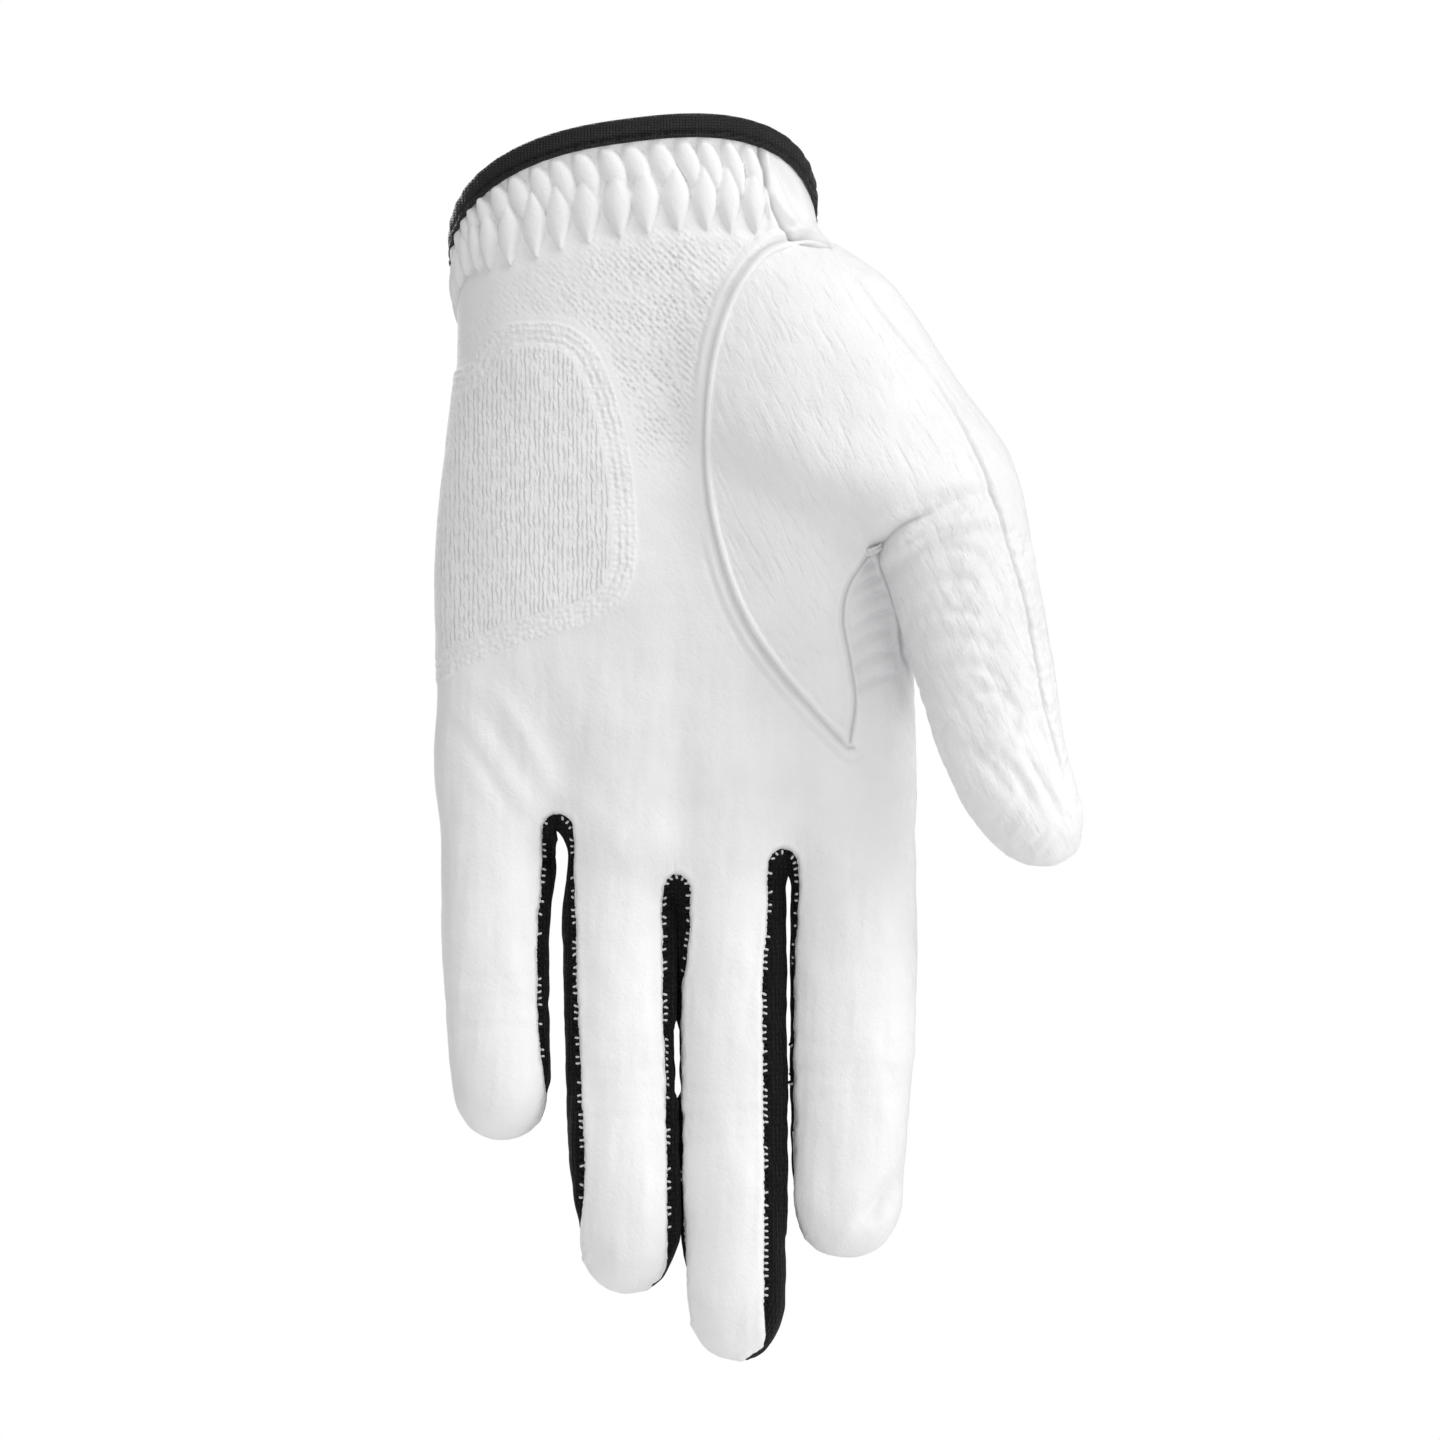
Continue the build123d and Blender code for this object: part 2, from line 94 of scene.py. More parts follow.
def spline(points, per_span=8, closed=False):
    """A Catmull-Rom curve through 2-D or 3-D points."""
    pts = np.array(points, float)
    n = len(pts)
    out = []
    for i in range(n if closed else n - 1):
        if closed:
            p = [pts[(i + k) % n] for k in (-1, 0, 1, 2)]
        else:
            p = [pts[min(max(i + k, 0), n - 1)] for k in (-1, 0, 1, 2)]
        for t in np.linspace(0, 1, per_span, endpoint=False):
            out.append(0.5 * ((2 * p[1]) + (p[2] - p[0]) * t + (2 * p[0] - 5 * p[1] + 4 * p[2] - p[3]) * t**2
                              + (3 * p[1] - p[0] - 3 * p[2] + p[3]) * t**3))
    if not closed:
        out.append(pts[-1])
    return np.array(out)


def line_distance(x, z, pts):
    """Distance to a polyline, position along it, and which side (positive on its left going along)."""
    best = np.full(x.shape, 1e9)
    along = np.zeros(x.shape)
    side = np.ones(x.shape)
    run = 0.0
    for a, b in zip(pts[:-1], pts[1:]):
        d = b - a
        length = float(np.hypot(*d))
        if length < 1e-9:
            continue
        t = np.clip(((x - a[0]) * d[0] + (z - a[1]) * d[1]) / length**2, 0, 1)
        dx, dz = x - a[0] - t * d[0], z - a[1] - t * d[1]
        dist = np.hypot(dx, dz)
        near = dist < best
        best = np.where(near, dist, best)
        along = np.where(near, run + t * length, along)
        side = np.where(near, np.sign(d[0] * dz - d[1] * dx + 1e-12), side)
        run += length
    return best, along, side


def inside_distance(x, z, loop):
    """Signed distance to a closed outline, negative inside it."""
    closed = np.vstack([loop, loop[:1]])
    dist, _, _ = line_distance(x, z, closed)
    inside = np.zeros(x.shape, bool)
    for a, b in zip(closed[:-1], closed[1:]):
        crosses = (a[1] > z) != (b[1] > z)
        with np.errstate(divide="ignore", invalid="ignore"):
            edge_x = a[0] + (z - a[1]) * (b[0] - a[0]) / (b[1] - a[1])
        inside ^= crosses & (x < edge_x)
    return np.where(inside, -dist, dist)


def noise(p, scale, seed, octaves=2):
    """Smooth seeded noise of about -1 to 1, from sums of plane waves; p is in mm, scale the wavelength."""
    r = np.random.default_rng(seed)
    total = np.zeros(len(p))
    amp = 1.0
    for _ in range(octaves):
        for _ in range(7):
            direction = r.normal(size=3)
            direction /= np.linalg.norm(direction)
            phase = r.uniform(0, 2 * pi)
            wobble = r.uniform(0.75, 1.35)
            wave = p @ (direction * (2 * pi / (scale * wobble)))
            bend = 0.9 * np.sin(p @ (r.normal(size=3) * (1.3 / scale)) + r.uniform(0, 6))
            total += amp * np.sin(wave + phase + bend)
        scale *= 0.5
        amp *= 0.5
    return total / 4.0


# ---------------------------------------------------------------- the hand form inside the leather
# Palm: z, x centre, half width, y centre, half depth.
PALM = smooth_table([
    (60, 0.0, 33.4, 0.3, 22.2), (0, 0.0, 33.2, 0.0, 21.8), (-14, 0.2, 32.6, 0.0, 20.4),
    (-24, 1.2, 33.2, 0.0, 19.2), (-45, 2.6, 37.4, 0.2, 18.0), (-65, 5.4, 42.0, 0.6, 16.6),
    (-85, 7.7, 43.5, 1.0, 14.4), (-100, 7.4, 42.9, 1.3, 12.0), (-112, 8.3, 43.6, 1.3, 10.4),
    (-130, 8.7, 44.0, 1.2, 9.6),
], 5.0)
PALM_END = [(-36, -108.0), (-24, -109.5), (-13.4, -111.5), (-3, -118.0), (8.2, -123.0), (18, -121.0), (28.6, -118.0),
            (41, -114.0), (53, -109.0)]
TUBES = {
    "little": (smooth_table([(-60, -24.6, 9.6, 1.0, 9.4), (-112, -25.7, 9.9, 1.2, 9.0), (-132, -25.4, 9.9, 0.0, 8.9),
                             (-154, -24.5, 9.3, -2.4, 8.5), (-160, -24.1, 8.9, -3.0, 8.2)]), -157.0, 11.9),
    "ring": (smooth_table([(-60, -3.0, 10.0, 1.0, 9.8), (-118, -2.6, 10.3, 0.8, 9.3), (-143, -2.35, 10.2, -1.2, 9.2),
                           (-166, -1.5, 9.9, -3.4, 9.0), (-184, -0.7, 9.2, -5.0, 8.4)]), -184.0, 13.2),
    "middle": (smooth_table([(-60, 17.6, 10.0, 1.0, 9.8), (-118, 18.2, 10.0, 0.8, 9.5), (-143, 18.45, 10.0, -1.2, 9.4),
                             (-176, 18.8, 9.9, -4.4, 9.1), (-196, 19.3, 9.1, -6.2, 8.5)]), -196.5, 13.1),
    "index": (smooth_table([(-60, 39.6, 10.5, 1.0, 10.0), (-114, 41.0, 11.5, 0.8, 9.8), (-136, 41.0, 11.5, -0.8, 9.8),
                            (-152, 40.8, 11.4, -2.2, 9.6), (-171, 40.1, 10.5, -4.0, 9.1),
                            (-179, 39.8, 10.0, -4.6, 8.8)]), -178.5, 12.1),
}
THUMB = smooth_table([
    (0, 27.0, 9.0, -2.0, 10.5), (-6, 28.5, 11.5, -3.0, 11.8), (-13.7, 29.0, 17.0, -4.4, 13.6),
    (-25.7, 34.4, 21.3, -6.4, 15.2), (-38.7, 42.0, 26.0, -8.4, 16.2), (-45, 48.0, 22.7, -10.4, 16.2),
    (-52, 54.6, 17.8, -12.7, 14.8), (-60, 59.6, 13.9, -14.8, 13.2), (-69, 61.5, 13.6, -16.2, 12.2),
    (-82, 64.75, 12.85, -18.0, 11.2), (-88, 65.9, 12.2, -18.7, 10.8), (-96, 67.45, 11.45, -19.6, 10.3),
    (-102, 69.7, 11.2, -20.3, 9.9), (-106, 71.25, 10.95, -20.8, 9.6), (-112, 73.5, 10.7, -21.5, 9.2),
    (-120, 75.65, 10.75, -22.4, 8.8),
], 3.0)
THENAR = smooth_table([(60, 33.0, 22.0, -6.5, 14.5), (-20, 33.0, 22.0, -6.5, 14.5), (-80, 38.0, 18.0, -6.5, 13.0),
                       (-120, 38.0, 18.0, -6.5, 13.0)])
THUMB_DOME = (-104.0, 14.2)
THUMB_TOP = (-13.0, 11.0)
SPREAD = {"little": -5.0, "ring": -1.8, "middle": 1.8, "index": 5.0}


def section(x, y, z, table, power, dome=None, top=None):
    """Signed distance, close to the surface, to a solid with rounded sections that follow table."""
    xc, hw, yc, hd = (at(column, z) for column in table)
    u, v = np.abs(x - xc) / hw, np.abs(y - yc) / hd
    t = np.zeros_like(u)
    length = 10.0
    if dome:
        t = np.clip((dome[0] - z) / dome[1], 0, None)
        length = dome[1]
    if top:
        t = t + np.clip((z - top[0]) / top[1], 0, None)
    r = np.maximum((u**power + v**power + t**power) ** (1 / power), 1e-3)
    slope = np.sqrt((u ** (power - 1) / hw) ** 2 + (v ** (power - 1) / hd) ** 2 + (t ** (power - 1) / length) ** 2)
    slope = np.maximum(slope / r ** (power - 1), 1 / np.maximum(hw, hd))
    return (r - 1) / slope


def finger_distance(name, x, y, z):
    table, dome_z, dome_length = TUBES[name]
    return section(x, y, z, table, 2.25, (dome_z, dome_length), (-100.0, 24.0))


def hand_distance(x, y, z):
    palm = section(x, y, z, PALM, 2.5)
    end = np.interp(x, *np.array(PALM_END).T) - z
    palm = -smooth_min(-palm, -end, 9.0)
    muscle = section(x, y, z, THENAR, 2.2, (-44.0, 36.0), (-44.0, 36.0))
    joined = None
    for name in FINGERS:
        tube = smooth_min(palm, finger_distance(name, x, y, z), 5.0)
        joined = tube if joined is None else np.minimum(joined, tube)
    thumb = section(x, y, z, THUMB, 2.15, THUMB_DOME, THUMB_TOP)
    joined = smooth_min(joined, muscle, 12.0)
    return smooth_min(joined, thumb, 2.0 + 1.4 * smoothstep((z + 88) / 10)
                      + 10.0 * smoothstep((z + 62) / 16) * smoothstep((2 - z) / 14))


def finger_sides(name, z):
    """X of the left and the right side of a finger at each height."""
    centre, half = (at(column, z) for column in TUBES[name][0][:2])
    return centre - half, centre + half


def unspread(x, z):
    """From the drawing in which the fingers are spread apart, to their real places side by side."""
    ramp = smoothstep((-104 - z) / 14)
    shift = np.full(x.shape, SPREAD["little"])
    for a, b in zip(FINGERS[:-1], FINGERS[1:]):
        right = finger_sides(a, z)[1] + SPREAD[a] * ramp
        left = finger_sides(b, z)[0] + SPREAD[b] * ramp
        t = np.clip((x - right) / np.maximum(left - right, 0.2), 0, 1)
        shift = shift + t * (SPREAD[b] - SPREAD[a])
    return x - shift * ramp


def surface_nets(values, low, step):
    """Quads over the zero surface of a grid of values."""
    sign = values < 0
    shape = np.array(values.shape) - 1
    offsets = [(i, j, k) for i in (0, 1) for j in (0, 1) for k in (0, 1)]

    def corner(array, o):
        return array[o[0]:o[0] + shape[0], o[1]:o[1] + shape[1], o[2]:o[2] + shape[2]]

    count = sum(corner(sign, o).astype(np.int8) for o in offsets)
    active = (count > 0) & (count < 8)
    index = np.full(tuple(shape), -1, np.int64)
    index[active] = np.arange(active.sum())
    cells = np.argwhere(active).astype(float)
    total, hits = np.zeros_like(cells), np.zeros(len(cells))
    for a in offsets:
        for axis in range(3):
            if a[axis]:
                continue
            b = tuple(1 if k == axis else a[k] for k in range(3))
            va, vb = corner(values, a)[active], corner(values, b)[active]
            crosses = (va < 0) != (vb < 0)
            t = np.where(crosses, va / np.where(crosses, va - vb, 1), 0)
            point = np.array(a, float) + t[:, None] * (np.array(b, float) - np.array(a, float))
            total += point * crosses[:, None]
            hits += crosses
    vertices = np.array(low) + (cells + total / hits[:, None]) * step
    quads = []
    for axis in range(3):
        u, w = [k for k in range(3) if k != axis]
        first = sign[tuple(slice(0, -1) if k == axis else slice(1, -1) for k in range(3))]
        second = sign[tuple(slice(1, None) if k == axis else slice(1, -1) for k in range(3))]
        at_edge = np.argwhere(first != second)
        at_edge[:, u] += 1
        at_edge[:, w] += 1
        outward = first[first != second]
        ring = []
        for du, dw in ((-1, -1), (0, -1), (0, 0), (-1, 0)):
            cell = at_edge.copy()
            cell[:, u] += du
            cell[:, w] += dw
            ring.append(index[cell[:, 0], cell[:, 1], cell[:, 2]])
        ring = np.stack(ring, 1)
        flip = outward if axis != 1 else ~outward
        ring[~flip] = ring[~flip][:, ::-1]
        quads.append(ring)
    return vertices, np.vstack(quads)


def gradient(p, h=0.2):
    out = np.zeros_like(p)
    for k in range(3):
        step = np.zeros(3)
        step[k] = h
        out[:, k] = hand_distance(*(p + step).T) - hand_distance(*(p - step).T)
    return out / (2 * h)


def project(p, rounds):
    for _ in range(rounds):
        g = gradient(p)
        size = np.maximum((g**2).sum(1), 0.05)
        move = -(hand_distance(*p.T) / size)[:, None] * g
        reach = np.linalg.norm(move, axis=1)
        p = p + move * np.minimum(1, 0.8 / np.maximum(reach, 1e-9))[:, None]
    return p


def edges_of(faces):
    count = faces.shape[1]
    return np.vstack([faces[:, [k, (k + 1) % count]] for k in range(count)])


def relax(p, quads, rounds):
    """Evens out the spacing of the points along the surface."""
    edges = edges_of(quads)
    for _ in range(rounds):
        total = np.zeros_like(p)
        for k in range(3):
            total[:, k] = np.bincount(edges[:, 0], p[edges[:, 1], k], len(p))
        hits = np.bincount(edges[:, 0], minlength=len(p))
        p = p + 0.5 * (total / np.maximum(hits, 1)[:, None] - p)
    return p


def subdivide(p, quads):
    edges = np.sort(edges_of(quads), axis=1)
    unique, inverse = np.unique(edges, axis=0, return_inverse=True)
    inverse = inverse.reshape(-1)
    n, m, q = len(p), len(unique), len(quads)
    points = np.vstack([p, p[unique].mean(1), p[quads].mean(1)])
    mid = [n + inverse[k * q:(k + 1) * q] for k in range(4)]
    centre = n + m + np.arange(q)
    new = [np.stack([quads[:, k], mid[k], centre, mid[k - 1]], 1) for k in range(4)]
    return points, np.vstack(new)


def hand_mesh():
    low, high = np.array([-50.0, -46.0, -216.0]), np.array([96.0, 30.0, 40.0])
    counts = np.ceil((high - low) / GRID_STEP).astype(int)
    axes = [low[k] + GRID_STEP * np.arange(counts[k]) for k in range(3)]
    x, y, z = np.meshgrid(*axes, indexing="ij")
    values = hand_distance(unspread(x, z), y, z)
    p, quads = surface_nets(values, low, GRID_STEP)
    p[:, 0] = unspread(p[:, 0], p[:, 2])
    keep = p[:, 2] < 36
    quads = quads[keep[quads].all(1)]
    p = project(p, 2)
    p = relax(p, quads, 2)
    p = project(p, 2)
    p, quads = subdivide(p, quads)
    p = project(p, 1)
    p = relax(p, quads, 1)
    return project(p, 2), quads


# ---------------------------------------------------------------- seams, as curves in X and Z
THENAR_SEAM = spline([(35.6, -3.6), (31.0, -3.6), (25.5, -5.4), (21.5, -9.5), (18.6, -14.5), (16.2, -21.5),
                      (14.6, -30.0), (14.0, -41.4), (15.4, -54.4), (20.0, -69.2), (27.4, -81.2), (40.3, -95.5)])
WEB_SEAM = spline([(40.3, -95.5), (41.3, -87.7), (40.3, -80.3), (39.0, -73.0), (40.2, -66.6), (44.6, -60.3)])
WEB_EDGE = spline([(44.6, -60.3), (46.0, -64.4), (47.7, -69.4), (49.4, -75.6), (51.2, -82.6), (52.0, -86.0)])
CROOK = spline([(44.8, -60.4), (47.6, -57.2), (51.4, -54.8), (56.0, -53.2), (61.0, -52.6)])
THENAR_LOOP = np.vstack([THENAR_SEAM, WEB_SEAM, WEB_EDGE[1:], [(53.0, -140), (120, -140), (120, 6), (40, 2)]])
WEB_LOOP = np.vstack([WEB_SEAM, WEB_EDGE[1:], [(60.0, -92.0), (52.6, -92.6), (46.0, -94.6)]])
THUMB_SIDE_SEAM = spline([(36.0, -2.0), (44.0, -14.5), (50.5, -22.6), (56.0, -30.0), (61.0, -38.5), (65.0, -47.0),
                          (68.1, -56.6), (70.8, -66.0), (72.8, -74.0), (74.6, -84.0), (76.2, -92.0), (79.5, -104.0)])
HEEL_LOOP = spline([(-44, -28.0), (-31.3, -26.6), (-28.1, -22.4), (-24.5, -19.6), (-20.7, -18.4), (-13.3, -18.7),
                    (-9.4, -20.4), (-6.4, -23.6), (-3.2, -31.3), (-0.6, -41.4), (0.8, -52.5), (0.8, -62.0),
                    (-0.4, -67.0), (-3.4, -71.0), (-9.6, -74.2), (-19.8, -77.2), (-30.0, -81.6), (-44, -88.0)])
BACK_THUMB_LOOP = np.vstack([spline([(38, -2), (33.5, -12), (34.5, -40), (40.5, -66), (48.0, -80), (53.2, -90)]),
                             [(53.2, -140), (120, -140), (120, -2)]])
CUFF_SIDE_SEAM = spline([(22.0, 40.0), (23.6, 15.0), (24.6, 9.0), (26.4, 2.2), (30.2, -3.2), (36.5, -4.2)])
KNUCKLE_LOOP = spline([(-23.6, -99.4), (-16.0, -102.4), (-4.0, -105.2), (10.0, -106.0), (24.0, -105.0), (36.0, -102.2),
                       (42.6, -99.2), (44.0, -95.0), (42.2, -91.0), (34.0, -92.6), (22.0, -94.8), (8.0, -95.6),
                       (-6.0, -94.8), (-17.0, -92.4), (-23.8, -90.4), (-25.4, -94.8)], 6, closed=True)
LOOPS = {"thenar": THENAR_LOOP, "web": WEB_LOOP, "heel": HEEL_LOOP, "back_thumb": BACK_THUMB_LOOP,
         "knuckle": KNUCKLE_LOOP}
OUTER_SEAM = np.vstack([CUFF_SIDE_SEAM, THUMB_SIDE_SEAM[8:]])
SLIT_LOOP = np.array([(-6.2, 30), (2.2, 30), (-0.7, -45.2), (-2.0, -46.6), (-3.3, -45.2)])


def rim_height(x, y):
    """The wrist opening's edge: high at the palm, low at the back."""
    heights = [(-40, 28.4), (-22.5, 18.9), (-18, 15.1), (-10, 8.6), (0, 1.2), (10, -3.4), (22, -7.0), (40, -9.0)]
    return 0.125 * x + np.interp(y, *np.array(heights).T)


# Mesh strips beside the fingers. Per gap, for its left and its right finger: the seam's share of the finger's
# half width in front and at the back, what the front's share gains near the top, where the seam ends, and how
# late it turns to the finger's side. Then the heights of the arch's foot and top over the crotch.
GAPS = {
    ("little", "ring"): {"front": (0.83, 0.79), "back": (0.74, 0.74), "top": (0.12, 0.03), "ends": (-164.5, -190.0),
                         "close": (8, 12), "arch": (-112.4, -109.2)},
    ("ring", "middle"): {"front": (0.83, 0.985), "back": (0.78, 0.80), "top": (0.0, -0.20), "ends": (-195.8, -202.0),
                         "close": (45, 6), "arch": (-123.6, -120.2)},
    ("middle", "index"): {"front": (0.60, 0.99), "back": (0.70, 0.82), "top": (0.13, -0.07), "ends": (-209.4, -186.0),
                          "close": (90, 6), "arch": (-119.0, -115.6)},
}
ARCH_POINTS, SEAM_POINTS = 13, 40


def gap_loop(pair, face):
    """The outline, in X and Z, of the mesh between two fingers as seen from the front or the back."""
    data = GAPS[pair]
    foot_z, top_z = data["arch"]
    sides = []
    for k, name in enumerate(pair):
        sign = 1 if k == 0 else -1
        table, dome_z, dome_length = TUBES[name]
        share, end = data[face][k], data["ends"][k]
        z = np.linspace(foot_z, end, SEAM_POINTS)
        half = at(table[1], z) * np.sqrt(np.clip(1 - np.clip((dome_z - z) / dome_length, 0, 1) ** 2, 0.02, 1))
        closing = smoothstep((foot_z - 12 - z) / (foot_z - 12 - end))
        if face == "front":
            share = share + data["top"][k] * smoothstep((z - foot_z + 22) / 18)
        ratio = share + (1.04 - share) * closing ** data["close"][k]
        wave = 0.012 * np.sin(z * 0.9 + 2 * k) * (1 - closing)
        sides.append(np.stack([at(table[0], z) + sign * half * (ratio + wave), z], 1))
    left, right = sides
    centre, reach = (left[0, 0] + right[0, 0]) / 2, (right[0, 0] - left[0, 0]) / 2
    arch = [(centre - cos(a) * reach, foot_z + (top_z - foot_z) * sin(a) ** 0.8)
            for a in np.linspace(0.08, pi - 0.08, ARCH_POINTS)]
    middle = (finger_sides(pair[0], -150.0)[1] + finger_sides(pair[1], -150.0)[0]) / 2
    foot = [(middle, left[-1, 1] - 1), (middle, right[-1, 1] - 1)]
    return np.vstack([arch, right, foot[::-1], left[::-1]])


GAP_LOOPS = {(pair, face): gap_loop(pair, face) for pair in GAPS for face in ("front", "back")}

# Heights of the cuts between the palm's leather, the lower and the upper half of each finger, and where each
# joint's bend starts and ends.
CUTS = {
    "little": {"root": -114.2, "middle": -131.0, "base_bend": (-114.0, -130.4), "middle_bend": (-132.5, -154.5)},
    "ring": {"root": -125.2, "middle": -142.4, "base_bend": (-125.0, -141.6), "middle_bend": (-148.5, -171.5)},
    "middle": {"root": -125.2, "middle": -142.4, "base_bend": (-125.0, -141.6), "middle_bend": (-153.0, -176.0)},
    "index": {"root": -120.6, "middle": -138.0, "base_bend": (-120.4, -137.4), "middle_bend": (-144.5, -167.5)},
}
THUMB_AXIS = np.array([0.226, -0.1, -0.969])
THUMB_BEND = (102.0, 114.0)  # along THUMB_AXIS


# ---------------------------------------------------------------- fields that tell the panels apart
def palm_side(p):
    """Negative on the palm side of the hand's side seams."""
    name = nearest_finger(p)
    depth = (p[:, 1] - at(PALM[2], p[:, 2])) / at(PALM[3], p[:, 2]) - 0.24
    for k, finger in enumerate(FINGERS):
        table = TUBES[finger][0]
        own = (p[:, 1] - at(table[2], p[:, 2])) / at(table[3], p[:, 2])
        closed = {"little": -1.0, "index": 1.0}.get(finger, 0.0)
        own = own - 0.12 * (1 + np.tanh(closed * (p[:, 0] - at(table[0], p[:, 2])) / 3)) * abs(closed)
        weight = smoothstep((-112 - p[:, 2]) / 8)
        depth = np.where(name == k, depth * (1 - weight) + own * weight, depth)
    return depth * 10


def side_field(p):
    """Negative on the palm side of all the seams that join the front of the glove to its back."""
    x, y, z = p.T
    low = smoothstep((-78 - z) / 16)
    w = smoothstep((x - 46 - 6 * low) / (8 - 6 * low))
    split = y - (-6.0 + 0.14 * z)
    base = palm_side(p) * (1 - w) + split * w
    dist, _, side = line_distance(x, z, OUTER_SEAM)
    below = smoothstep((-88 - z) / 14)
    outer = dist * side * (1 - below) + (split + 1.0) * below
    return np.maximum(base, np.where((x < 54) & (z < -90), -99.0, outer))


def nearest_finger(p):
    x, z = p[:, 0], p[:, 2]
    name = np.zeros(len(p), int)
    for a, b in zip(FINGERS[:-1], FINGERS[1:]):
        name += x > (finger_sides(a, z)[1] + finger_sides(b, z)[0]) / 2
    return name


def below_rim(p):
    return p[:, 2] - (rim_height(p[:, 0], p[:, 1]) - 0.6)


def is_thumb(p):
    """Roughly where the thumb and its side of the hand are."""
    return (p[:, 0] > 53.8) & (p[:, 2] > -130)


def loop_field(loop):
    return lambda p: inside_distance(p[:, 0], p[:, 2], loop)


def strip_field(pair, face):
    def field(p):
        ragged = noise(p * [0.2, 0.2, 1], 2.6, 45, 1)
        return inside_distance(p[:, 0], p[:, 2], GAP_LOOPS[(pair, face)]) + 0.26 * ragged
    return field


def gap_side(p):
    """Negative toward the palm, between the front and the back halves of the mesh strips."""
    name = nearest_finger(p)
    out = np.zeros(len(p))
    for k, finger in enumerate(FINGERS):
        out = np.where(name == k, p[:, 1] - at(TUBES[finger][0][2], p[:, 2]), out)
    return out


def finger_level(kind):
    def field(p):
        name = nearest_finger(p)
        level = np.array([CUTS[f][kind] for f in FINGERS])[name]
        return np.where(is_thumb(p), 50.0, p[:, 2] - level)
    return field


def thumb_level(p):
    """Positive above the cut between the thumb's lower part and its tip."""
    s = p @ THUMB_AXIS
    return np.where(is_thumb(p) & (p[:, 2] < -80), THUMB_BEND[0] - 0.2 - s, 20.0)


def split_mesh(p, quads, tris, field, near=None):
    """Adds points along the field's zero line, so that no face crosses it. near limits it to some faces."""
    value = field(p)
    value = np.where(np.abs(value) < 1e-6, 1e-6, value)
    sign = value > 0
    allowed = np.ones(len(p), bool) if near is None else near(p)

    def mixed(faces):
        s = sign[faces]
        return (s.any(1) & ~s.all(1)) & allowed[faces].all(1)

    cross = mixed(quads)
    part = quads[cross]
    tris = np.vstack([tris, part[:, [0, 1, 2]], part[:, [0, 2, 3]]])
    quads = quads[~cross]
    cross = mixed(tris)
    part = tris[cross]
    rest = tris[~cross]
    if not len(part):
        return p, quads, tris
    s = sign[part]
    lone = np.where(s.sum(1) == 1, s.argmax(1), (~s).argmax(1))
    rows = np.arange(len(part))
    a, b, c = part[rows, lone], part[rows, (lone + 1) % 3], part[rows, (lone + 2) % 3]
    keys = np.sort(np.vstack([np.stack([a, b], 1), np.stack([a, c], 1)]), axis=1)
    unique, inverse = np.unique(keys, axis=0, return_inverse=True)
    inverse = inverse.reshape(-1) + len(p)
    v0, v1 = value[unique[:, 0]], value[unique[:, 1]]
    t = (v0 / (v0 - v1))[:, None]
    added = p[unique[:, 0]] * (1 - t) + p[unique[:, 1]] * t
    ab, ac = inverse[:len(part)], inverse[len(part):]
    new = np.vstack([np.stack([a, ab, ac], 1), np.stack([ab, b, c], 1), np.stack([ab, c, ac], 1)])
    return np.vstack([p, added]), quads, np.vstack([rest, new])


# ---------------------------------------------------------------- relief of the leather
def soft_lines(x, z, lines):
    """Sum of soft valleys (negative) and ridges along short curves: (points, width, height)."""
    total = np.zeros(x.shape)
    for points, width, height in lines:
        curve = spline(points, 6)
        dist, along, _ = line_distance(x, z, curve)
        length = np.hypot(*np.diff(curve, axis=0).T).sum()
        fade = np.sin(pi * np.clip((along + 0.08 * length) / (1.16 * length), 0, 1)) ** 0.7
        total += height * bump(dist, width) * fade
    return total


PALM_FOLDS = [
    ([(8.0, -70), (8.8, -90), (9.0, -119)], 4.2, -0.9),
    ([(-18, -84), (-14.5, -96), (-13.4, -110)], 3.6, -0.8),
    ([(-29, -88), (-23, -97), (-16.5, -108)], 1.8, -0.45),
    ([(-25, -86), (-19, -95), (-14.5, -105)], 1.5, 0.35),
    ([(-33, -92), (-27, -101), (-21, -110)], 1.6, -0.35),
    ([(-9.5, -104), (-11, -99), (-9.5, -92)], 2.0, -0.3),
    ([(5.0, -106), (1.0, -110), (-2.0, -116)], 1.8, -0.3),
    ([(33, -100), (30.5, -107), (29.2, -117)], 3.2, -0.8),
    ([(26, -98), (28, -106), (28.6, -114)], 2.0, -0.25),
    ([(2.0, -20), (8.0, -42), (10, -66)], 9.0, -1.0),
    ([(40, -97), (46, -103), (50, -112)], 2.6, -0.35),
]
THUMB_FOLDS = [
    ([(44.8, -60.6), (49, -56), (56, -52.0), (65, -50)], 1.9, -2.3),
    ([(46, -63.5), (50, -59.5), (57, -56), (65, -54.5)], 1.6, 0.7),
    ([(48, -64), (54, -59), (62, -57), (67, -57.5)], 1.4, -0.55),
    ([(50, -69), (56, -66), (63, -66)], 1.3, -0.5),
    ([(49, -60.5), (55, -56.5), (63, -54.5)], 1.3, 0.4),
    ([(52, -73), (58, -71.5), (65, -73)], 1.2, -0.4),
    ([(54, -62), (59, -60), (65, -62)], 1.0, -0.4),
    ([(53, -78), (60, -76), (67, -79)], 1.4, -0.45),
    ([(55, -84), (62, -81), (68, -85)], 1.2, -0.35),
    ([(58, -90), (65, -86), (71, -90)], 1.2, -0.5),
    ([(61, -96), (66, -100), (71, -107)], 1.1, -0.5),
    ([(65, -96), (70, -101), (75, -109)], 1.1, -0.6),
    ([(70, -96), (74, -101), (78, -109)], 1.0, -0.5),
    ([(67, -92), (71, -97), (74, -103)], 0.9, 0.3),
    ([(73, -100), (76.5, -105), (79.5, -111)], 0.9, -0.5),
]
FINGER_FOLDS = [
    ([(48.4, -176.5), (45.4, -181.3), (42.6, -184)], 1.9, -2.4),
    ([(51.5, -176), (49.8, -181.5)], 1.6, 0.4),
    ([(-34, -146), (-30, -148), (-26, -147)], 2.0, -0.2),
]
